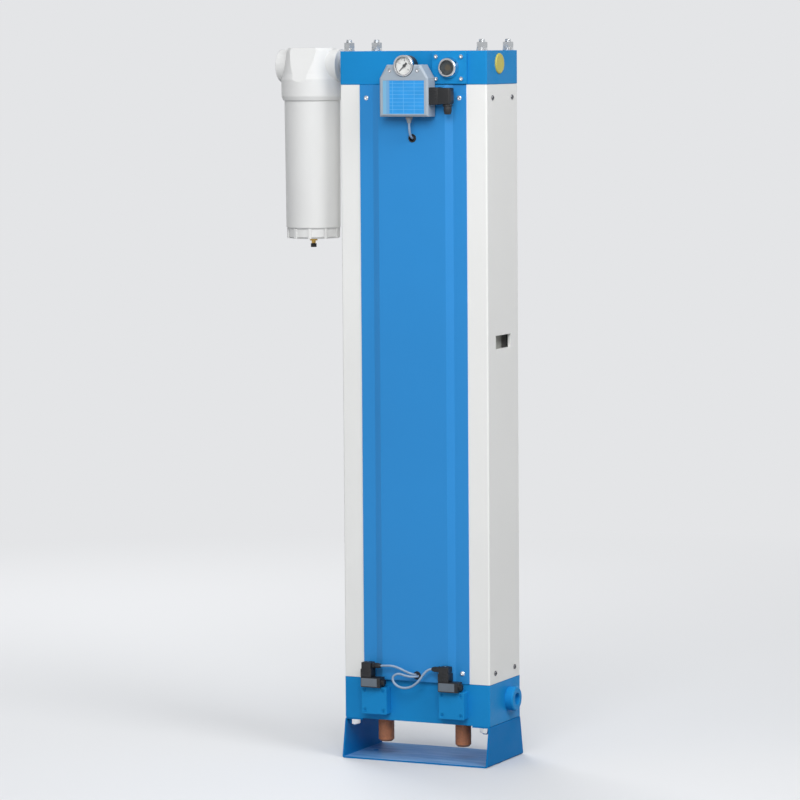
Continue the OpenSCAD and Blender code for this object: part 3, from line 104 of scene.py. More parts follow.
LEAD_D = 4.4 * MM
LEAD_ROUNDING = 5
LEAD_STEPS = 6
LEFT_ROUTE = [
    (-65, -91, 182), (-57, -91, 182.5), (-50, -91, 183), (-43, -91, 183), (-36, -91, 182),
    (-29, -91, 180), (-22, -91, 177.5), (-16, -91, 175), (-10.5, -91, 173), (-7.5, -90.6, 171.8),
    (-4.5, -89.4, 170.6), (-2, -87.5, 169.5), (0, -85, 168.5), (1.2, -82, 167.7),
    (1.6, -79, 167.4), (1.6, -75, 167.4), (1.6, -71, 167.4),
]
RIGHT_ROUTE = [
    (41, -91, 182), (36, -91.5, 181), (30, -92.5, 177.5), (25, -94, 172), (20, -95.5, 165),
    (15, -97, 158), (9, -98, 152.5), (2, -98.5, 148), (-6, -98.5, 145), (-14, -98.5, 144),
    (-22, -98.5, 145), (-29, -98.5, 148), (-34.5, -98, 152.5), (-37.5, -97.5, 158),
    (-37, -97, 163.5), (-33, -96.5, 167.5), (-27, -96.3, 169.5), (-20, -96, 169),
    (-13.5, -95.5, 167.2), (-7.3, -93.8, 165.8), (-0.3, -91.2, 165), (4.6, -86.3, 164.7),
    (6.6, -79.5, 164.6), (6.6, -75, 164.6), (6.6, -71, 164.6),
]
CONTROLLER_ROUTE = [
    (4, -97, 1203), (4, -97, 1200), (4, -96.8, 1196.5), (3.9, -96.2, 1193), (3.7, -95.2, 1189.5),
    (3.4, -93.7, 1186.3), (3.1, -91.7, 1183.3), (2.7, -89.2, 1180.6), (2.3, -86.4, 1178.4),
    (1.9, -83.4, 1176.7), (1.6, -80.4, 1175.4), (1.5, -78, 1174.8), (1.5, -75, 1174.5),
    (1.5, -72.5, 1174.5), (1.5, -70, 1174.5),
]


def add_lead(name, route, node):
    points = [Vector(p) * MM for p in route]
    curve = bpy.data.curves.new(name, "CURVE")
    curve.dimensions = "3D"
    # The radius is given at the knots, so that the curve's own box is true
    curve.bevel_depth = 1.0
    curve.bevel_resolution = LEAD_ROUNDING
    curve.resolution_u = LEAD_STEPS
    curve.use_fill_caps = True
    spline = curve.splines.new("BEZIER")
    spline.bezier_points.add(len(points) - 1)
    for knot, place in zip(spline.bezier_points, points):
        knot.co = place
        knot.radius = LEAD_D / 2
        knot.handle_left_type = "AUTO"
        knot.handle_right_type = "AUTO"
    piece = bpy.data.objects.new(name, curve)
    scene.collection.objects.link(piece)
    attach(piece, "tower")
    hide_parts(node)
    return piece


leads = [
    add_lead("left_lead", LEFT_ROUTE, "left_valve_lead"),
    add_lead("right_lead", RIGHT_ROUTE, "right_valve_lead"),
    add_lead("controller_cable", CONTROLLER_ROUTE, "controller_lead"),
]


# Materials

# A colour Mix node's sockets: its factor, the colour under, the colour over and the result
MIX_FACTOR = 0
MIX_UNDER = 6
MIX_OVER = 7
MIX_RESULT = 2


def linear(red, green, blue):
    """A colour given in screen values from 0 to 255, as the shader wants it."""
    out = []
    for value in (red, green, blue):
        share = value / 255
        out.append(share / 12.92 if share <= 0.04045 else ((share + 0.055) / 1.055) ** 2.4)
    return (out[0], out[1], out[2], 1)


def scaled(colour, factor):
    return tuple(min(1, c * factor) for c in colour[:3]) + (1,)


class Surface:
    """A material whose colour, roughness and relief vary with noise in the part's own frame."""

    def __init__(self, name, colour, rough, metallic=0.0):
        self.material = bpy.data.materials.new(name)
        self.material.use_nodes = True
        self.tree = self.material.node_tree
        self.shader = self.tree.nodes["Principled BSDF"]
        self.shader.inputs["Base Color"].default_value = colour
        self.shader.inputs["Roughness"].default_value = rough
        self.shader.inputs["Metallic"].default_value = metallic
        self.coord = self.tree.nodes.new("ShaderNodeTexCoord")
        self.colour = None
        self.base = colour
        self.rough = rough
        self.normal = None

    def link(self, source, target):
        self.tree.links.new(source, target)

    def noise(self, scale, detail, stretch=None):
        node = self.tree.nodes.new("ShaderNodeTexNoise")
        node.inputs["Scale"].default_value = scale
        node.inputs["Detail"].default_value = detail
        if stretch is None:
            self.link(self.coord.outputs["Object"], node.inputs["Vector"])
        else:
            mapping = self.tree.nodes.new("ShaderNodeMapping")
            mapping.inputs["Scale"].default_value = stretch
            self.link(self.coord.outputs["Object"], mapping.inputs["Vector"])
            self.link(mapping.outputs["Vector"], node.inputs["Vector"])
        return node.outputs["Fac"]

    def cells(self, scale):
        node = self.tree.nodes.new("ShaderNodeTexVoronoi")
        node.inputs["Scale"].default_value = scale
        self.link(self.coord.outputs["Object"], node.inputs["Vector"])
        return node.outputs["Distance"]

    def ramp(self, value, low, high, start=0.3, stop=0.7):
        """Goes from low to high as the value goes from start to stop."""
        node = self.tree.nodes.new("ShaderNodeMapRange")
        node.inputs["From Min"].default_value = start
        node.inputs["From Max"].default_value = stop
        node.inputs["To Min"].default_value = low
        node.inputs["To Max"].default_value = high
        self.link(value, node.inputs["Value"])
        return node.outputs["Result"]

    def compute(self, operation, *values):
        """One value worked out from one or two others."""
        node = self.tree.nodes.new("ShaderNodeMath")
        node.operation = operation
        for value, socket in zip(values, node.inputs):
            self.link(value, socket)
        return node.outputs["Value"]

    def tint(self, factor, colour):
        """Mixes another colour in where factor is high."""
        node = self.tree.nodes.new("ShaderNodeMix")
        node.data_type = "RGBA"
        self.link(factor, node.inputs[MIX_FACTOR])
        if self.colour is None:
            node.inputs[MIX_UNDER].default_value = self.base
        else:
            self.link(self.colour, node.inputs[MIX_UNDER])
        node.inputs[MIX_OVER].default_value = colour
        self.colour = node.outputs[MIX_RESULT]
        self.link(self.colour, self.shader.inputs["Base Color"])

    def blotches(self, scale, spread, stretch=None):
        """Slow changes of shade, as in paint or moulded plastic."""
        shade = self.noise(scale, detail=2.0, stretch=stretch)
        darker = self.ramp(shade, 0, 1, start=0.35, stop=0.75)
        self.tint(darker, scaled(self.base, 1 - spread))

    def uneven(self, scale, spread, stretch=None):
        """Changes of gloss."""
        polish = self.noise(scale, detail=4.0, stretch=stretch)
        value = self.ramp(polish, self.rough - spread, self.rough + spread)
        self.link(value, self.shader.inputs["Roughness"])

    def soft_edges(self, radius, wear_and_edge_highlight=0.0):
        """Edges that catch the light as if slightly rounded, and lighter paint along them: a painted
        highlight on the edges, and worn paint.
        """
        bevel = self.tree.nodes.new("ShaderNodeBevel")
        bevel.samples = 4
        bevel.inputs["Radius"].default_value = radius
        self.normal = bevel.outputs["Normal"]
        self.link(self.normal, self.shader.inputs["Normal"])
        if wear_and_edge_highlight:
            facing = self.tree.nodes.new("ShaderNodeNewGeometry")
            dot = self.tree.nodes.new("ShaderNodeVectorMath")
            dot.operation = "DOT_PRODUCT"
            self.link(self.normal, dot.inputs[0])
            self.link(facing.outputs["Normal"], dot.inputs[1])
            # Lighter paint along the edges: a painted highlight, and worn paint.
            edge = self.ramp(dot.outputs["Value"], wear_and_edge_highlight, 0, start=0.80, stop=0.99)
            self.tint(edge, scaled(self.base, 1.25))

    def place(self, axis):
        """One coordinate of the surface, in metres of the part's own frame."""
        node = self.tree.nodes.new("ShaderNodeSeparateXYZ")
        self.link(self.coord.outputs["Object"], node.inputs["Vector"])
        return node.outputs[axis]

    def upward(self):
        """How far the surface faces up, from 0 to 1."""
        facing = self.tree.nodes.new("ShaderNodeNewGeometry")
        split = self.tree.nodes.new("ShaderNodeSeparateXYZ")
        self.link(facing.outputs["Normal"], split.inputs["Vector"])
        return self.ramp(split.outputs["Z"], 0, 1, start=0.7, stop=0.95)

    def distance(self, point):
        node = self.tree.nodes.new("ShaderNodeVectorMath")
        node.operation = "DISTANCE"
        node.inputs[1].default_value = point
        self.link(self.coord.outputs["Object"], node.inputs[0])
        return node.outputs["Value"]

    def relief(self, value, strength, depth):
        """Small bumps from a noise or cell pattern."""
        node = self.tree.nodes.new("ShaderNodeBump")
        node.inputs["Strength"].default_value = strength
        node.inputs["Distance"].default_value = depth
        self.link(value, node.inputs["Height"])
        if self.normal is not None:
            self.link(self.normal, node.inputs["Normal"])
        self.normal = node.outputs["Normal"]
        self.link(self.normal, self.shader.inputs["Normal"])

    def gloss(self, level):
        self.shader.inputs["Specular IOR Level"].default_value = level


# The pale painted sheen and dust on what faces up on the base's foot: its colour, the height where it
# ends and how softly it ends
SHEEN_AND_DUST_COLOUR = linear(150, 190, 232)
SHEEN_AND_DUST_TOP = 12 * MM
SHEEN_AND_DUST_FADE = 2 * MM


def sheet_paint(name, colour, rough, gloss, sheen_and_dust_below=None):
    """Paint on folded sheet, with a pale painted sheen and dust on what faces up below the height
    given.
    """
    paint = Surface(name, colour, rough)
    paint.blotches(scale=3.0, spread=0.05)
    paint.uneven(scale=14, spread=0.05)
    if sheen_and_dust_below is not None:
        # Paler on what faces up low down: a painted sheen, and dust, broken into streaks
        low = paint.ramp(paint.place("Z"), 1, 0, start=sheen_and_dust_below - SHEEN_AND_DUST_FADE, stop=sheen_and_dust_below)
        streaks = paint.ramp(paint.noise(scale=10, detail=4.0, stretch=(1, 7, 1)), 0.2, 0.65)
        on_top = paint.compute("MULTIPLY", paint.upward(), low)
        paint.tint(paint.compute("MULTIPLY", on_top, streaks), SHEEN_AND_DUST_COLOUR)
    paint.soft_edges(radius=0.9 * MM, wear_and_edge_highlight=0.5)
    paint.relief(paint.noise(scale=420, detail=2.0), strength=0.06, depth=0.4 * MM)
    paint.gloss(gloss)
    return paint.material


def cast_paint(name, colour, rough, gloss):
    paint = Surface(name, colour, rough)
    paint.blotches(scale=9.0, spread=0.09)
    paint.uneven(scale=30, spread=0.07)
    paint.soft_edges(radius=1.4 * MM, wear_and_edge_highlight=0.6)
    paint.relief(paint.noise(scale=260, detail=3.0), strength=0.12, depth=0.6 * MM)
    paint.gloss(gloss)
    return paint.material


def powder_coat(name, colour, rough, gloss):
    paint = Surface(name, colour, rough)
    paint.blotches(scale=6.0, spread=0.04)
    paint.uneven(scale=40, spread=0.06)
    paint.soft_edges(radius=1.2 * MM)
    paint.relief(paint.noise(scale=700, detail=2.0), strength=0.10, depth=0.4 * MM)
    paint.gloss(gloss)
    return paint.material


def moulded(name, colour, rough):
    plastic = Surface(name, colour, rough)
    plastic.blotches(scale=25, spread=0.12)
    plastic.uneven(scale=120, spread=0.08)
    plastic.soft_edges(radius=0.5 * MM, wear_and_edge_highlight=0.25)
    plastic.relief(plastic.noise(scale=1600, detail=2.0), strength=0.15, depth=0.2 * MM)
    return plastic.material


def plated(name, colour, rough):
    metal = Surface(name, colour, rough, metallic=1.0)
    metal.blotches(scale=60, spread=0.10)
    metal.uneven(scale=180, spread=0.07)
    metal.soft_edges(radius=0.35 * MM)
    metal.relief(metal.noise(scale=900, detail=2.0), strength=0.05, depth=0.2 * MM)
    return metal.material


def extruded(name, colour, rough):
    """Aluminium with fine lines along the upright."""
    metal = Surface(name, colour, rough, metallic=0.1)
    metal.blotches(scale=40, spread=0.08, stretch=(40, 40, 1))
    metal.uneven(scale=60, spread=0.10, stretch=(40, 40, 0.6))
    lines = metal.noise(scale=40, detail=2.0, stretch=(40, 40, 0.4))
    metal.relief(lines, strength=0.08, depth=0.2 * MM)
    return metal.material


def sintered(name, colour, patches):
    """Grains pressed together, with painted shade between them and patches of another shade."""
    metal = Surface(name, colour, rough=0.6, metallic=0.15)
    grains = metal.cells(scale=900)
    # Darker towards each grain's edge: painted shade between the grains.
    metal.tint(metal.ramp(grains, 0, 1, start=0.05, stop=0.55), scaled(colour, 0.55))
    metal.tint(metal.ramp(metal.noise(scale=90, detail=3.0), 0, 0.5, start=0.45), patches)
    metal.relief(grains, strength=0.7, depth=0.6 * MM)
    return metal.material


def rubber(name, colour, rough):
    surface = Surface(name, colour, rough)
    surface.blotches(scale=90, spread=0.15)
    surface.uneven(scale=200, spread=0.06)
    surface.relief(surface.noise(scale=1200, detail=2.0), strength=0.08, depth=0.2 * MM)
    return surface.material


def clear(name, colour, opacity):
    glass = Surface(name, colour, rough=0.04)
    glass.shader.inputs["Alpha"].default_value = opacity
    glass.shader.inputs["IOR"].default_value = 1.5
    glass.uneven(scale=60, spread=0.02)
    return glass.material


# The label's empty table, and the strip and band at its left end
LABEL_CELL_W = 22 * MM
LABEL_CELL_H = 6.9 * MM
LABEL_LINE = 0.35 * MM
LABEL_STRIP = 7 * MM
LABEL_BAND = 14 * MM
LABEL_BLUR = 0.4 * MM


def printed_label(name):
    """A blue field with an empty ruled table, and a lighter strip and band at its left end."""
    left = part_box("controller_label")[0].x
    foil = Surface(name, linear(44, 154, 230), rough=0.35)
    foil.blotches(scale=45, spread=0.12)
    across = foil.place("X")
    corner = foil.tree.nodes.new("ShaderNodeCombineXYZ")
    foil.link(across, corner.inputs["X"])
    foil.link(foil.place("Z"), corner.inputs["Y"])
    table = foil.tree.nodes.new("ShaderNodeTexBrick")
    table.offset = 0
    table.inputs["Scale"].default_value = 1
    table.inputs["Brick Width"].default_value = LABEL_CELL_W
    table.inputs["Row Height"].default_value = LABEL_CELL_H
    table.inputs["Mortar Size"].default_value = LABEL_LINE
    table.inputs["Mortar Smooth"].default_value = 0.2
    foil.link(corner.outputs["Vector"], table.inputs["Vector"])
    foil.tint(table.outputs["Fac"], linear(104, 184, 238))
    band = left + LABEL_BAND
    strip = left + LABEL_STRIP
    in_band = foil.ramp(across, 1, 0, start=band - 5 * LABEL_BLUR, stop=band + LABEL_BLUR)
    in_strip = foil.ramp(across, 1, 0, start=strip - LABEL_BLUR, stop=strip + LABEL_BLUR)
    foil.tint(in_band, linear(112, 166, 210))
    foil.tint(in_strip, linear(122, 180, 216))
    foil.relief(foil.noise(scale=500, detail=2.0), strength=0.04, depth=0.2 * MM)
    return foil.material


# The indicator's card is brownish up to the first radius and grey from the second
CARD_MIDDLE_R = 4.5 * MM
CARD_RING_R = 7.5 * MM


def indicator_face(name):
    """The card behind the sight glass: a grey ring round a brownish middle."""
    low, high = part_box("indicator_card")
    centre = ((low.x + high.x) / 2, low.y, (low.z + high.z) / 2)
    card = Surface(name, linear(122, 128, 130), rough=0.6)
    card.blotches(scale=260, spread=0.5)
    middle = card.ramp(card.distance(centre), 1, 0, start=CARD_MIDDLE_R, stop=CARD_RING_R)
    card.tint(middle, linear(150, 134, 108))
    card.relief(card.noise(scale=700, detail=2.0), strength=0.2, depth=0.3 * MM)
    return card.material


# Screws below this height are painted over with the manifold, in metres
PAINTED_TO = 0.30
PAINTED_FADE = 0.01


def screw_steel(name):
    """Bright screws above, painted over with the manifold below."""
    metal = Surface(name, linear(214, 216, 220), rough=0.25, metallic=1.0)
    metal.blotches(scale=60, spread=0.10)
    height = metal.place("Z")
    painted = metal.ramp(height, 1, 0, start=PAINTED_TO, stop=PAINTED_TO + PAINTED_FADE)
    bare = metal.ramp(height, 0, 1, start=PAINTED_TO, stop=PAINTED_TO + PAINTED_FADE)
    metal.tint(painted, linear(20, 136, 204))
    metal.gloss(0.1)
    metal.link(bare, metal.shader.inputs["Metallic"])
    metal.uneven(scale=180, spread=0.07)
    metal.soft_edges(radius=0.35 * MM)
    return metal.material


# How far past the front panel's edge the screws with a painted highlight reach
BRIGHT_MARGIN = 10 * MM
BRIGHT_FADE = 1 * MM


def sheet_screw_steel(name):
    """One kind of screw, darkened in the side covers and lighter in the front and rear panels: a
    painted dark reflection and a painted highlight.
    """
    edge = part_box("front_panel")[1].x + BRIGHT_MARGIN
    # The dark colour is a painted dark reflection.
    metal = Surface(name, linear(112, 112, 116), rough=0.2, metallic=0.9)
    metal.blotches(scale=60, spread=0.10)
    aside = metal.compute("ABSOLUTE", metal.place("X"))
    # Lighter near the front and rear panels: a painted highlight.
    painted_highlight = metal.ramp(aside, 1, 0, start=edge, stop=edge + BRIGHT_FADE)
    metal.tint(painted_highlight, linear(226, 230, 236))
    metal.uneven(scale=180, spread=0.07)
    metal.soft_edges(radius=0.35 * MM)
    return metal.material


def beads(name, colour):
    bed = Surface(name, colour, rough=0.7)
    packed = bed.cells(scale=280)
    # Darker between the beads: painted shade.
    bed.tint(bed.ramp(packed, 0, 1, start=0.2, stop=0.6), scaled(colour, 0.5))
    bed.relief(packed, strength=0.9, depth=1.5 * MM)
    return bed.material


def pleats(name, colour):
    medium = Surface(name, colour, rough=0.85)
    medium.blotches(scale=30, spread=0.15, stretch=(1, 1, 6))
    medium.relief(medium.noise(scale=500, detail=3.0), strength=0.3, depth=0.4 * MM)
    return medium.material


materials = {
    "base_blue": sheet_paint(
        "base_blue", linear(14, 118, 186), rough=0.45, gloss=0.05, sheen_and_dust_below=SHEEN_AND_DUST_TOP,
    ),
    "manifold_blue": cast_paint("manifold_blue", linear(26, 138, 205), rough=0.42, gloss=0.12),
    "panel_blue": sheet_paint("panel_blue", linear(44, 140, 210), rough=0.40, gloss=0.30),
    "cover_white": sheet_paint("cover_white", linear(238, 238, 236), rough=0.45, gloss=0.4),
    "filter_white": powder_coat("filter_white", linear(226, 226, 225), rough=0.5, gloss=0.15),
    "zinc_steel": plated("zinc_steel", linear(224, 226, 228), rough=0.18),
    "nickel": plated("nickel", linear(228, 229, 232), rough=0.14),
    "bare_aluminium": extruded("bare_aluminium", linear(226, 227, 220), rough=0.5),
    "seal_rubber": rubber("seal_rubber", linear(26, 26, 28), rough=0.6),
    "desiccant": beads("desiccant", linear(232, 228, 214)),
    "black_plastic": moulded("black_plastic", linear(26, 27, 30), rough=0.42),
    "dial_white": moulded("dial_white", linear(250, 250, 247), rough=0.5),
    "clear_glass": clear("clear_glass", linear(235, 240, 242), opacity=0.05),
    "housing_grey": moulded("housing_grey", linear(162, 174, 186), rough=0.42),
    "board_green": moulded("board_green", linear(24, 96, 56), rough=0.4),
    "label_blue": printed_label("label_blue"),
    "gland_grey": moulded("gland_grey", linear(140, 146, 152), rough=0.5),
    "lead_grey": rubber("lead_grey", linear(150, 172, 196), rough=0.45),
    "brass": plated("brass", linear(206, 168, 92), rough=0.26),
    "plug_yellow": moulded("plug_yellow", linear(194, 184, 86), rough=0.45),
    "bronze": sintered("bronze", linear(208, 136, 98), patches=linear(206, 128, 82)),
    "element_cream": pleats("element_cream", linear(222, 216, 198)),
    "sight_glass": clear("sight_glass", linear(60, 66, 70), opacity=0.35),
    "indicator_face": indicator_face("indicator_face"),
    "cap_screw_steel": screw_steel("cap_screw_steel"),
    "sheet_screw_steel": sheet_screw_steel("sheet_screw_steel"),
    "mark_black": moulded("mark_black", linear(26, 26, 28), rough=0.6),
    "plain_foil": moulded("plain_foil", linear(104, 114, 124), rough=0.4),
}

# Nodes whose finish differs from the rest of their slot
special = {
    "indicator_glass": "sight_glass",
    "indicator_card": "indicator_face",
    "cap_screws": "cap_screw_steel",
    "sheet_screws": "sheet_screw_steel",
}

slot_of = {part["node"]: part["material_slot"] for part in record["subparts"]}
for node, slot in slot_of.items():
    mesh = nodes[node].data
    mesh.materials.clear()
    mesh.materials.append(materials[special.get(node, slot)])
for lead in leads:
    lead.data.materials.append(materials["lead_grey"])


# Shared mesh makers, which take sizes and places in millimetres

SHARP_ANGLE = math.radians(32)
WELD_REACH = 0.001 * MM


def add_piece(name, mesh, slot, finish=(), hides=()):
    """Adds a mesh to the tower, in its slot's material or in those that finish names."""
    piece = bpy.data.objects.new(name, mesh)
    scene.collection.objects.link(piece)
    for material in finish or (slot,):
        mesh.materials.append(materials[material])
    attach(piece, "tower")
    if hides:
        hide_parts(*hides)
    return piece


def finish_mesh(name, bm, smooth=True):
    """Turns a bmesh into a mesh, smooth except at its sharp edges."""
    bmesh.ops.recalc_face_normals(bm, faces=bm.faces)
    for face in bm.faces:
        face.smooth = smooth
    for edge in bm.edges:
        if len(edge.link_faces) == 2 and edge.calc_face_angle() > SHARP_ANGLE:
            edge.smooth = False
    mesh = bpy.data.meshes.new(name)
    bm.to_mesh(mesh)
    bm.free()
    return mesh


def weld(mesh):
    """Joins the faces of a mesh where their corners meet."""
    bm = bmesh.new()
    bm.from_mesh(mesh)
    bmesh.ops.remove_doubles(bm, verts=bm.verts, dist=WELD_REACH)
    bm.to_mesh(mesh)
    bm.free()


def skin(bm, rows, index=0):
    """Faces between rings of corners, and a face over each end."""
    count = len(rows[0])
    for a, b in zip(rows, rows[1:]):
        for k in range(count):
            after = (k + 1) % count
            bm.faces.new((a[k], a[after], b[after], b[k])).material_index = index
    for row in (rows[0], rows[-1]):
        bm.faces.new(row).material_index = index


def block(bm, low, high, bevel, steps, index=0):
    """A box between two corners, with rounded edges."""
    size = [h - l for l, h in zip(low, high)]
    middle = [(l + h) / 2 * MM for l, h in zip(low, high)]
    made = bmesh.ops.create_cube(bm, size=1.0)["verts"]
    bmesh.ops.scale(bm, vec=[s * MM for s in size], verts=made)
    bmesh.ops.translate(bm, vec=middle, verts=made)
    for face in {face for vert in made for face in vert.link_faces}:
        face.material_index = index
    edges = list({edge for vert in made for edge in vert.link_edges})
    bmesh.ops.bevel(
        bm, geom=edges, offset=bevel * MM, segments=steps, profile=0.5,
        affect="EDGES", clamp_overlap=True, material=index,
    )


def frame_along(direction):
    """Rotation that takes +Z to the direction given."""
    return Vector((0, 0, 1)).rotation_difference(Vector(direction)).to_matrix()


def lathe(bm, origin, direction, profile, segments, ridge=None, index=0):
    """A turned shape. profile holds (radius, distance) pairs along the direction.

    ridge is (count, depth, first, last): the profile rows first to last carry that many ridges.
    """
    turn = frame_along(direction)
    start = Vector(origin) * MM
    rows = []
    for number, (radius, along) in enumerate(profile):
        row = []
        for k in range(segments):
            angle = 2 * math.pi * k / segments
            r = radius
            if ridge:
                count, depth, first, last = ridge
                if first <= number <= last:
                    r -= depth * (0.5 + 0.5 * math.cos(count * angle))
            local = Vector((r * math.cos(angle), r * math.sin(angle), along)) * MM
            row.append(bm.verts.new(start + turn @ local))
        rows.append(row)
    skin(bm, rows, index)


def hex_prism(bm, origin, direction, across_flats, length, chamfer):
    """A hexagon with its end corners turned off."""
    radius = across_flats / 2 / math.cos(math.radians(30))
    profile = [
        (radius - chamfer, 0), (radius, chamfer),
        (radius, length - chamfer), (radius - chamfer, length),
    ]
    lathe(bm, origin, direction, profile, segments=6)


# The hexagon takes this share of a gland's length, and the nut is narrower than it
GLAND_HEX_SHARE = 0.25
GLAND_HEX_CHAMFER = 0.6
GLAND_NUT_NARROWER = 1.0
GLAND_RIDGES = 24
GLAND_RIDGE_DEPTH = 0.45


def cable_gland(bm, origin, direction, width, length):
    """A cable gland: hexagon, ridged nut and a tapered mouth."""
    hex_length = length * GLAND_HEX_SHARE
    hex_prism(bm, origin, direction, width, hex_length, GLAND_HEX_CHAMFER)
    nut = Vector(origin) + Vector(direction).normalized() * hex_length
    radius = (width - GLAND_NUT_NARROWER) / 2
    body = length - hex_length
    profile = [
        (radius - 0.6, -0.4), (radius - 0.5, 0), (radius, 0.5), (radius, body * 0.6),
        (radius - 0.4, body * 0.66), (radius * 0.86, body * 0.86), (radius * 0.7, body),
        (radius * 0.5, body), (radius * 0.46, body * 0.94),
    ]
    ridge = (GLAND_RIDGES, GLAND_RIDGE_DEPTH, 2, 3)
    lathe(bm, nut, direction, profile, segments=4 * GLAND_RIDGES, ridge=ridge)


# Half a screw slot's width as a share of the head's radius, and its floor as a share of the height
SLOT_SHARE = 0.18
SLOT_FLOOR = 0.4
SLOT_STEPS = 16
DISC_INSET = 0.1


def slotted_screw(bm, origin, direction, diameter, height, index):
    """A round screw head with a slot across it: a disc with two raised halves."""
    turn = frame_along(direction)
    start = Vector(origin) * MM
    r = diameter / 2
    disc = [(r - DISC_INSET, 0), (r - DISC_INSET, height * SLOT_FLOOR)]
    lathe(bm, origin, direction, disc, segments=2 * SLOT_STEPS, index=index)
    edge = math.asin(SLOT_SHARE)
    for half in (1, -1):
        rows = []
        for along in (0, height):
            row = []
            for k in range(SLOT_STEPS + 1):
                angle = half * (edge + (math.pi - 2 * edge) * k / SLOT_STEPS)
                local = Vector((r * math.cos(angle), r * math.sin(angle), along)) * MM
                row.append(bm.verts.new(start + turn @ local))
            rows.append(row)
        skin(bm, rows, index)


# Threads on the ends of the tie rods, in millimetres

ROD_R = 6.0
ROD_PITCH = 1.75
ROD_THREAD_DEPTH = 0.75
ROD_THREAD_LENGTH = 26.0
ROD_FLANK_SLOPE = 2.6
ROD_CREST_FLAT = 0.3
ROD_POINT_DEPTH = 1.2
ROD_POINT_SLOPE = 0.8
ROD_SIDES = 32
ROD_ROWS_PER_TURN = 6


def rod_radius(z, share, end):
    """The thread's radius at a height and a share of the turn, pointed towards the rod's end."""
    phase = (z / ROD_PITCH - share) % 1.0
    groove = min(1.0, max(0.0, abs(phase - 0.5) * ROD_FLANK_SLOPE - ROD_CREST_FLAT))
    return min(ROD_R - ROD_THREAD_DEPTH * groove, ROD_R - ROD_POINT_DEPTH + end * ROD_POINT_SLOPE)


def add_tie_rods():
    low, high = (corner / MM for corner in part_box("tie_rods"))
    step = ROD_PITCH / ROD_ROWS_PER_TURN
    count = int(ROD_THREAD_LENGTH / step)
    low_end = low.z + ROD_THREAD_LENGTH
    high_end = high.z - ROD_THREAD_LENGTH
    levels = [(low.z + k * step, True) for k in range(count + 1)]
    levels += [(low_end, False), (high_end, False)]
    levels += [(high_end + k * step, True) for k in range(1, count + 1)]
    levels.append((high.z, True))
    bm = bmesh.new()
    for x in (low.x + ROD_R, high.x - ROD_R):
        for y in (low.y + ROD_R, high.y - ROD_R):
            rows = []
            for z, threaded in levels:
                end = min(z - low.z, high.z - z)
                row = []
                for k in range(ROD_SIDES):
                    share = k / ROD_SIDES
                    r = rod_radius(z, share, end) if threaded else ROD_R
                    angle = 2 * math.pi * share
                    place = (x + r * math.cos(angle), y + r * math.sin(angle), z)
                    row.append(bm.verts.new(Vector(place) * MM))
                rows.append(row)
            skin(bm, rows)
    add_piece("threaded_rods", finish_mesh("threaded_rods", bm), "zinc_steel", hides=("tie_rods",))


add_tie_rods()


# Gauge: scale and figures on the dial, in millimetres and degrees

DIAL_LOW, DIAL_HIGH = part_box("gauge_dial")
DIAL_Z = (DIAL_LOW.z + DIAL_HIGH.z) / 2
DIAL_START = 225
DIAL_SWEEP = 270
DIAL_STEPS = 32
STEPS_PER_FIGURE = 8
STEPS_PER_MIDDLE_MARK = 4
MARK_OUTER_R = 15.7
LONG_MARK_R = 12.6
MIDDLE_MARK_R = 13.6
SHORT_MARK_R = 14.4
LONG_MARK_ANGLE = 1.6
SHORT_MARK_ANGLE = 0.8
# Half a mark at its inner and at its outer end, as shares of its angle
MARK_INNER_SHARE = 0.6
MARK_OUTER_SHARE = 0.5
MARK_T = 0.15
FIGURE_R = 10.0
FIGURE_SIZE = 4.0
FIGURE_T = 0.06
FIGURE_RISE = 0.1
FIGURE_STEP = 4


def dial_angle(step):
    return DIAL_START - DIAL_SWEEP * step / DIAL_STEPS


def dial_place(angle, radius, rise):
    """A place just in front of the dial."""
    turn = math.radians(angle)
    reach = radius * MM
    return Vector((reach * math.cos(turn), DIAL_LOW.y - rise * MM, DIAL_Z + reach * math.sin(turn)))


def add_dial_marks():
    bm = bmesh.new()
    for step in range(DIAL_STEPS + 1):
        angle = dial_angle(step)
        inner = SHORT_MARK_R
        width = SHORT_MARK_ANGLE
        if step % STEPS_PER_FIGURE == 0:
            inner = LONG_MARK_R
            width = LONG_MARK_ANGLE
        elif step % STEPS_PER_MIDDLE_MARK == 0:
            inner = MIDDLE_MARK_R
        corners = [
            dial_place(angle + width * MARK_INNER_SHARE, inner, MARK_T),
            dial_place(angle - width * MARK_INNER_SHARE, inner, MARK_T),
            dial_place(angle - width * MARK_OUTER_SHARE, MARK_OUTER_R, MARK_T),
            dial_place(angle + width * MARK_OUTER_SHARE, MARK_OUTER_R, MARK_T),
        ]
        front = [bm.verts.new(c) for c in corners]
        back = [bm.verts.new(c + Vector((0, MARK_T, 0)) * MM) for c in corners]
        skin(bm, [front, back])
    add_piece("dial_marks", finish_mesh("dial_marks", bm, smooth=False), "dial_white", ("mark_black",))


def add_dial_figures():
    for number in range(DIAL_STEPS // STEPS_PER_FIGURE + 1):
        words = bpy.data.curves.new("figure", "FONT")
        words.body = str(FIGURE_STEP * number)
        words.size = FIGURE_SIZE * MM
        words.extrude = FIGURE_T * MM
        words.align_x = "CENTER"
        words.align_y = "CENTER"
        shape = bpy.data.objects.new("figure", words)
        scene.collection.objects.link(shape)
        bpy.context.view_layer.update()
        mesh = bpy.data.meshes.new_from_object(shape)
        bpy.data.objects.remove(shape)
        mesh.materials.clear()
        weld(mesh)
        place = dial_place(dial_angle(STEPS_PER_FIGURE * number), FIGURE_R, FIGURE_RISE)
        upright = Matrix.Rotation(math.radians(90), 4, "X")
        mesh.transform(Matrix.Translation(place) @ upright)
        mesh.name = "dial_figure_%d" % number
        add_piece("dial_figure_%d" % number, mesh, "dial_white", ("mark_black",))


add_dial_marks()
add_dial_figures()


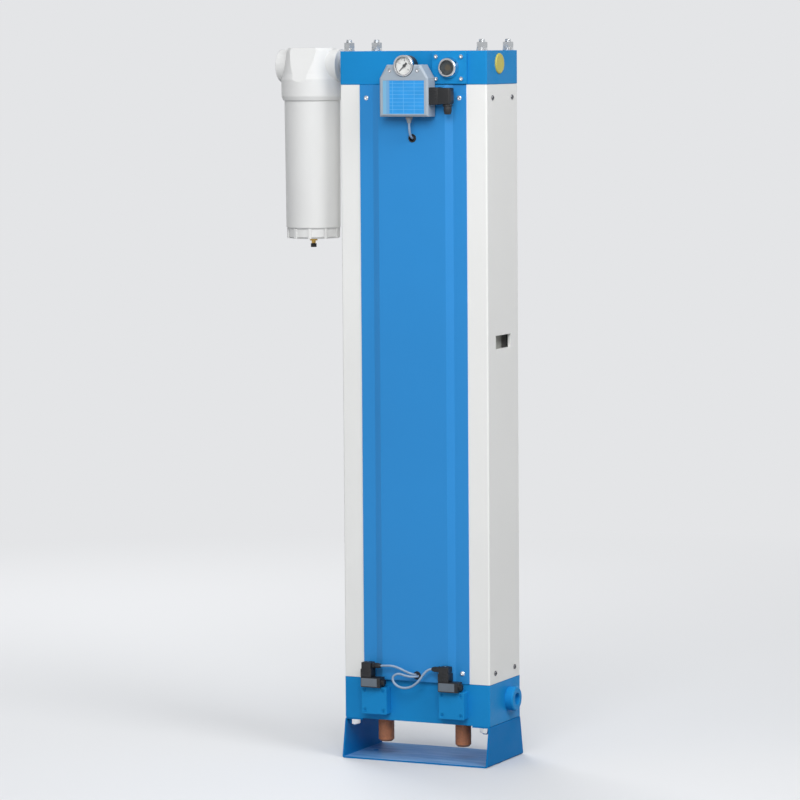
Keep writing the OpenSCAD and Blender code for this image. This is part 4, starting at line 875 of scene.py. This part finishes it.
# Electrical plugs, in millimetres: gasket, ribbed flange, cap with a raised panel, gland and screw

PLUG_FINISH = ("black_plastic", "seal_rubber", "zinc_steel")
GASKET_INDEX = 1
SCREW_INDEX = 2
GASKET_T = 1.4
GASKET_INSET = 0.5
FLANGE_SEAT = 1.2
CAP_INSET = 1.0

POWER_PLUG_LENGTH = 42.0
POWER_GLAND_DROP = 18.0
POWER_GLAND_D = 16.0
POWER_FLANGE_END = 18.2
POWER_CAP_START = 16.0
POWER_CAP_SHORT = 0.8
POWER_PANEL_START = 21.0
POWER_PANEL_INSET = 4.5
POWER_PANEL_BELOW = 4.0
POWER_PANEL_ABOVE = 5.5
POWER_RIB_SHARES = (0.2, 0.4, 0.6, 0.8)
POWER_RIB_START = 4.0
POWER_RIB_END = 15.0
POWER_RIB_HALF = 0.8
POWER_RIB_RISE = 0.45
POWER_RIB_FOOT = 1.2
POWER_SCREW_D = 5.0
POWER_SCREW_H = 0.65
POWER_SCREW_SEAT = 0.7


def add_power_plug():
    low, high = (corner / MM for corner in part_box("power_plug"))
    x0, y0, gland_z = low
    y1 = high.y
    z1 = high.z
    z0 = gland_z + POWER_GLAND_DROP
    x1 = x0 + POWER_PLUG_LENGTH
    middle = (y0 + y1) / 2
    bm = bmesh.new()
    block(
        bm, (x0, y0 + GASKET_INSET, z0 + GASKET_INSET),
        (x0 + GASKET_T, y1 - GASKET_INSET, z1 - GASKET_INSET), bevel=0.3, steps=2, index=GASKET_INDEX,
    )
    block(bm, (x0 + FLANGE_SEAT, y0, z0), (x0 + POWER_FLANGE_END, y1, z1), bevel=1.2, steps=4)
    block(
        bm, (x0 + POWER_CAP_START, y0 + CAP_INSET, z0 + CAP_INSET),
        (x1 - POWER_CAP_SHORT, y1 - CAP_INSET, z1 - CAP_INSET), bevel=2.2, steps=5,
    )
    block(
        bm, (x0 + POWER_PANEL_START, y0 + POWER_PANEL_INSET, z0 + POWER_PANEL_BELOW),
        (x1, y1 - POWER_PANEL_INSET, z1 - POWER_PANEL_ABOVE), bevel=1.0, steps=3,
    )
    for share in POWER_RIB_SHARES:
        z = z0 + share * (z1 - z0)
        for near, far in (
            (y0 - POWER_RIB_RISE, y0 + POWER_RIB_FOOT),
            (y1 - POWER_RIB_FOOT, y1 + POWER_RIB_RISE),
        ):
            block(
                bm, (x0 + POWER_RIB_START, near, z - POWER_RIB_HALF),
                (x0 + POWER_RIB_END, far, z + POWER_RIB_HALF), bevel=0.3, steps=2,
            )
    gland = (x1 - POWER_GLAND_D / 2 - CAP_INSET, middle, z0 + CAP_INSET)
    cable_gland(bm, gland, (0, 0, -1), POWER_GLAND_D, z0 + CAP_INSET - gland_z)
    screw = (x1 - POWER_SCREW_SEAT, middle, (z0 + z1) / 2)
    slotted_screw(bm, screw, (1, 0, 0), POWER_SCREW_D, POWER_SCREW_H, SCREW_INDEX)
    mesh = finish_mesh("power_connector", bm)
    add_piece("power_connector", mesh, "black_plastic", PLUG_FINISH, hides=("power_plug",))


VALVE_CAP_OVERLAP = 2.0
VALVE_CAP_SHORT = 0.7
VALVE_PANEL_RISE = 3.0
VALVE_PANEL_SHORT = 0.2
VALVE_PANEL_INSET_X = 4.0
VALVE_PANEL_INSET_Y = 3.5
VALVE_RIB_SHARES = (0.25, 0.5, 0.75)
VALVE_RIB_INSET = 3.0
VALVE_RIB_HALF = 0.6
VALVE_RIB_RISE = 0.4
VALVE_RIB_FOOT = 1.0
VALVE_GLAND_BELOW = 7.0
VALVE_SCREW_D = 4.4
VALVE_SCREW_H = 0.45
VALVE_SCREW_SEAT = 0.5


def add_valve_plug(side):
    node = side + "_valve_plug"
    low, high = (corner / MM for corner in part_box(node))
    y0 = low.y
    y1 = high.y
    z0 = low.z
    z1 = high.z
    width = y1 - y0
    if side == "left":
        x0 = low.x
        gland_x = x0 + width - CAP_INSET
        reach = high.x - gland_x
        heading = (1, 0, 0)
    else:
        x0 = high.x - width
        gland_x = x0 + CAP_INSET
        reach = gland_x - low.x
        heading = (-1, 0, 0)
    x1 = x0 + width
    middle = (y0 + y1) / 2
    flange_z = z0 + FLANGE_SEAT
    collar = flange_z + (z1 - z0) / 2
    bm = bmesh.new()
    block(
        bm, (x0 + GASKET_INSET, y0 + GASKET_INSET, z0),
        (x1 - GASKET_INSET, y1 - GASKET_INSET, z0 + GASKET_T), bevel=0.3, steps=2, index=GASKET_INDEX,
    )
    block(bm, (x0, y0, flange_z), (x1, y1, collar), bevel=0.9, steps=3)
    block(
        bm, (x0 + CAP_INSET, y0 + CAP_INSET, collar - VALVE_CAP_OVERLAP),
        (x1 - CAP_INSET, y1 - CAP_INSET, z1 - VALVE_CAP_SHORT), bevel=1.8, steps=4,
    )
    block(
        bm, (x0 + VALVE_PANEL_INSET_X, y0 + VALVE_PANEL_INSET_Y, collar + VALVE_PANEL_RISE),
        (x1 - VALVE_PANEL_INSET_X, y1 - VALVE_PANEL_INSET_Y, z1 - VALVE_PANEL_SHORT),
        bevel=0.8, steps=3,
    )
    for share in VALVE_RIB_SHARES:
        z = flange_z + share * (collar - flange_z)
        block(
            bm, (x0 + VALVE_RIB_INSET, y0 - VALVE_RIB_RISE, z - VALVE_RIB_HALF),
            (x1 - VALVE_RIB_INSET, y0 + VALVE_RIB_FOOT, z + VALVE_RIB_HALF), bevel=0.25, steps=2,
        )
    cable_gland(bm, (gland_x, middle, z1 - VALVE_GLAND_BELOW), heading, width / 2, reach)
    screw = ((x0 + x1) / 2, middle, z1 - VALVE_SCREW_SEAT)
    slotted_screw(bm, screw, (0, 0, 1), VALVE_SCREW_D, VALVE_SCREW_H, SCREW_INDEX)
    name = side + "_coil_connector"
    add_piece(name, finish_mesh(name, bm), "black_plastic", PLUG_FINISH, hides=(node,))


# Valve coils, in millimetres: body, yoke, round collar, nut, and a plain plate in front

COIL_FINISH = ("black_plastic", "plain_foil")
COIL_PLATE_INDEX = 1
COIL_BODY_SHARE = 0.76
COIL_YOKE_OVERLAP = 1.0
COIL_COLLAR = [(6.6, -0.5), (6.6, 1.8), (6.1, 2.2), (4.5, 2.2)]
COIL_NUT_START = 2.0
COIL_NUT_WIDTH = 11.0
COIL_PLATE_LEFT = 1.5
COIL_PLATE_RIGHT = 1.0
COIL_PLATE_MARGIN = 1.8
COIL_PLATE_RISE = 0.2
COIL_PLATE_FOOT = 0.3


def add_coil(side):
    node = side + "_coil"
    low, high = (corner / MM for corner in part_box(node))
    x0, y0, z0 = low
    x1, y1, z1 = high
    body = x0 + (x1 - x0) * COIL_BODY_SHARE
    yoke = (body + x1) / 2
    y = (y0 + y1) / 2
    z = (z0 + z1) / 2
    bm = bmesh.new()
    block(bm, (x0, y0, z0), (body, y1, z1), bevel=1.4, steps=4)
    block(bm, (body - COIL_YOKE_OVERLAP, y0, z0), (yoke, y1, z1), bevel=1.0, steps=3)
    lathe(bm, (yoke, y, z), (1, 0, 0), COIL_COLLAR, segments=40)
    nut = yoke + COIL_NUT_START
    hex_prism(bm, (nut, y, z), (1, 0, 0), COIL_NUT_WIDTH, x1 - nut, chamfer=0.5)
    block(
        bm, (x0 + COIL_PLATE_LEFT, y0 - COIL_PLATE_RISE, z0 + COIL_PLATE_MARGIN),
        (body - COIL_PLATE_RIGHT, y0 + COIL_PLATE_FOOT, z1 - COIL_PLATE_MARGIN),
        bevel=0.15, steps=1, index=COIL_PLATE_INDEX,
    )
    name = side + "_solenoid"
    add_piece(name, finish_mesh(name, bm), "black_plastic", COIL_FINISH, hides=(node,))


# Exhaust valve springs, in millimetres, built to the length of their solids; the real springs shorten
# as their pistons lift

SPRING_MEAN_R = 10.0
SPRING_WIRE_R = 1.0
SPRING_TURNS = 5
SPRING_STEPS = 40 * SPRING_TURNS
SPRING_SIDES = 12


def add_return_spring(side):
    node = side + "_exhaust_spring"
    low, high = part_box(node)
    middle = (low + high) / 2 / MM
    start = low.y / MM + SPRING_WIRE_R
    rise = (high.y - low.y) / MM - 2 * SPRING_WIRE_R
    lean = math.atan2(rise, 2 * math.pi * SPRING_MEAN_R * SPRING_TURNS)
    bm = bmesh.new()
    rows = []
    for step in range(SPRING_STEPS + 1):
        done = step / SPRING_STEPS
        angle = 2 * math.pi * SPRING_TURNS * done
        outward = Vector((math.cos(angle), 0, -math.sin(angle)))
        sideways = Vector((math.sin(angle), 0, math.cos(angle)))
        along = sideways * math.sin(lean) + Vector((0, math.cos(lean), 0))
        centre = Vector((middle.x, start + rise * done, middle.z)) + outward * SPRING_MEAN_R
        row = []
        for k in range(SPRING_SIDES):
            turn = 2 * math.pi * k / SPRING_SIDES
            place = centre + (outward * math.cos(turn) + along * math.sin(turn)) * SPRING_WIRE_R
            row.append(bm.verts.new(place * MM))
        rows.append(row)
    skin(bm, rows)
    name = side + "_return_spring"
    piece = add_piece(name, finish_mesh(name, bm), slot_of[node], hides=(node,))
    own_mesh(piece)


# Thread in the filter's inlet, in millimetres

THREAD_PITCH = 2.3
THREAD_HEIGHT = 0.6
THREAD_ROOT = 0.3
THREAD_FOOT = 0.45 * THREAD_PITCH
THREAD_CREST = 0.10 * THREAD_PITCH
THREAD_FADE_TURNS = 0.5
THREAD_STEPS_PER_TURN = 48


def add_inlet_thread():
    """One ridge that winds along the inlet's wall and fades out at both ends."""
    inlet = next(m for m in record["mounts"] if m["name"] == "filter_inlet")
    outward = Vector(inlet["axis"])
    length = inlet["dims"]["length_mm"]
    outer = inlet["dims"]["r_mm"] + THREAD_ROOT
    mouth = Vector(inlet["pos_m"]) / MM + outward * length / 2
    turn = frame_along(-outward)
    # The first and the last pitch of the bore stay plain
    steps = round(THREAD_STEPS_PER_TURN * (length / THREAD_PITCH - 2))
    bm = bmesh.new()
    rows = []
    for step in range(steps + 1):
        angle = 2 * math.pi * step / THREAD_STEPS_PER_TURN
        depth = THREAD_PITCH * (1 + step / THREAD_STEPS_PER_TURN)
        from_end = min(step, steps - step) + 1
        fade = min(1, from_end / (THREAD_STEPS_PER_TURN * THREAD_FADE_TURNS))
        inner = outer - (THREAD_ROOT + THREAD_HEIGHT) * fade
        section = (
            (outer, -THREAD_FOOT), (inner, -THREAD_CREST),
            (inner, THREAD_CREST), (outer, THREAD_FOOT),
        )
        row = []
        for radius, along in section:
            local = Vector((radius * math.cos(angle), radius * math.sin(angle), depth + along))
            row.append(bm.verts.new((mouth + turn @ local) * MM))
        rows.append(row)
    skin(bm, rows)
    add_piece("inlet_thread", finish_mesh("inlet_thread", bm), "bare_aluminium")


add_inlet_thread()
add_power_plug()
for side in ("left", "right"):
    add_valve_plug(side)
    add_coil(side)
    add_return_spring(side)


# Floor and light, in metres

PALE = linear(228, 229, 231)
FLOOR_HALF_WIDTH = 40
FLOOR_FRONT = -30
FLOOR_BACK = 6
BACKDROP_BEND = 4
BACKDROP_TOP = 30
BEND_STEPS = 12
FADE_START = 0.7
FADE_END = 3.5
# The floor throws light on the object as if it had this share of its own tone
BOUNCE_SHARE = 0.4


def floor_profile():
    """Corners (y, z) from the front of the floor up the backdrop."""
    profile = [(FLOOR_FRONT, 0), (FLOOR_BACK, 0)]
    for step in range(1, BEND_STEPS + 1):
        angle = math.radians(90 * step / BEND_STEPS)
        y = FLOOR_BACK + BACKDROP_BEND * math.sin(angle)
        z = BACKDROP_BEND - BACKDROP_BEND * math.cos(angle)
        profile.append((y, z))
    profile.append((FLOOR_BACK + BACKDROP_BEND, BACKDROP_TOP))
    return profile


def floor_material():
    """Pale, fading into one plain tone far from the object."""
    surface = Surface("floor", PALE, rough=0.6)
    surface.blotches(scale=0.8, spread=0.02)
    tree = surface.tree
    path = tree.nodes.new("ShaderNodeLightPath")
    surface.tint(path.outputs["Is Diffuse Ray"], scaled(PALE, BOUNCE_SHARE))
    seen = path.outputs["Is Camera Ray"]
    for ray in ("Is Glossy Ray", "Is Transmission Ray"):
        seen = surface.compute("MAXIMUM", seen, path.outputs[ray])
    away = surface.ramp(surface.distance((0, 0, 0)), 0, 1, start=FADE_START, stop=FADE_END)
    glow = tree.nodes.new("ShaderNodeEmission")
    glow.inputs["Color"].default_value = PALE
    mix = tree.nodes.new("ShaderNodeMixShader")
    surface.link(surface.compute("MULTIPLY", away, seen), mix.inputs[0])
    surface.link(surface.shader.outputs["BSDF"], mix.inputs[1])
    surface.link(glow.outputs["Emission"], mix.inputs[2])
    surface.link(mix.outputs["Shader"], tree.nodes["Material Output"].inputs["Surface"])
    return surface.material


def add_floor():
    """A pale floor that rises into a backdrop."""
    bm = bmesh.new()
    rows = []
    for y, z in floor_profile():
        rows.append([bm.verts.new((x, y, z)) for x in (-FLOOR_HALF_WIDTH, FLOOR_HALF_WIDTH)])
    for a, b in zip(rows, rows[1:]):
        bm.faces.new((a[0], a[1], b[1], b[0])).smooth = True
    mesh = bpy.data.meshes.new("floor")
    bm.to_mesh(mesh)
    bm.free()
    mesh.materials.append(floor_material())
    floor = bpy.data.objects.new("floor", mesh)
    scene.collection.objects.link(floor)


def add_light(name, place, target, width, height, power):
    data = bpy.data.lights.new(name, "AREA")
    data.shape = "RECTANGLE"
    data.size = width
    data.size_y = height
    data.energy = power
    lamp = bpy.data.objects.new(name, data)
    lamp.location = place
    aim = Vector(target) - Vector(place)
    lamp.rotation_euler = aim.to_track_quat("-Z", "Y").to_euler()
    scene.collection.objects.link(lamp)
    return lamp


def add_world(colour, strength):
    world = bpy.data.worlds.new("studio")
    world.use_nodes = True
    background = world.node_tree.nodes["Background"]
    background.inputs["Color"].default_value = colour
    background.inputs["Strength"].default_value = strength
    scene.world = world


add_floor()
add_light("key", place=(0.9, -2.6, 2.4), target=(0, 0, 0.9), width=1.8, height=1.4, power=52)
add_light("side", place=(3.2, -1.4, 3.4), target=(0, 0, 1.1), width=1.6, height=2.0, power=70)
rear = add_light("rear", place=(-2.6, 2.6, 2.4), target=(0, 0, 0.9), width=2.0, height=1.6, power=88)
# It gives light and no mirror image of itself
rear.visible_glossy = False
add_world(colour=(0.96, 0.98, 1.0, 1), strength=0.56)

bpy.context.view_layer.update()
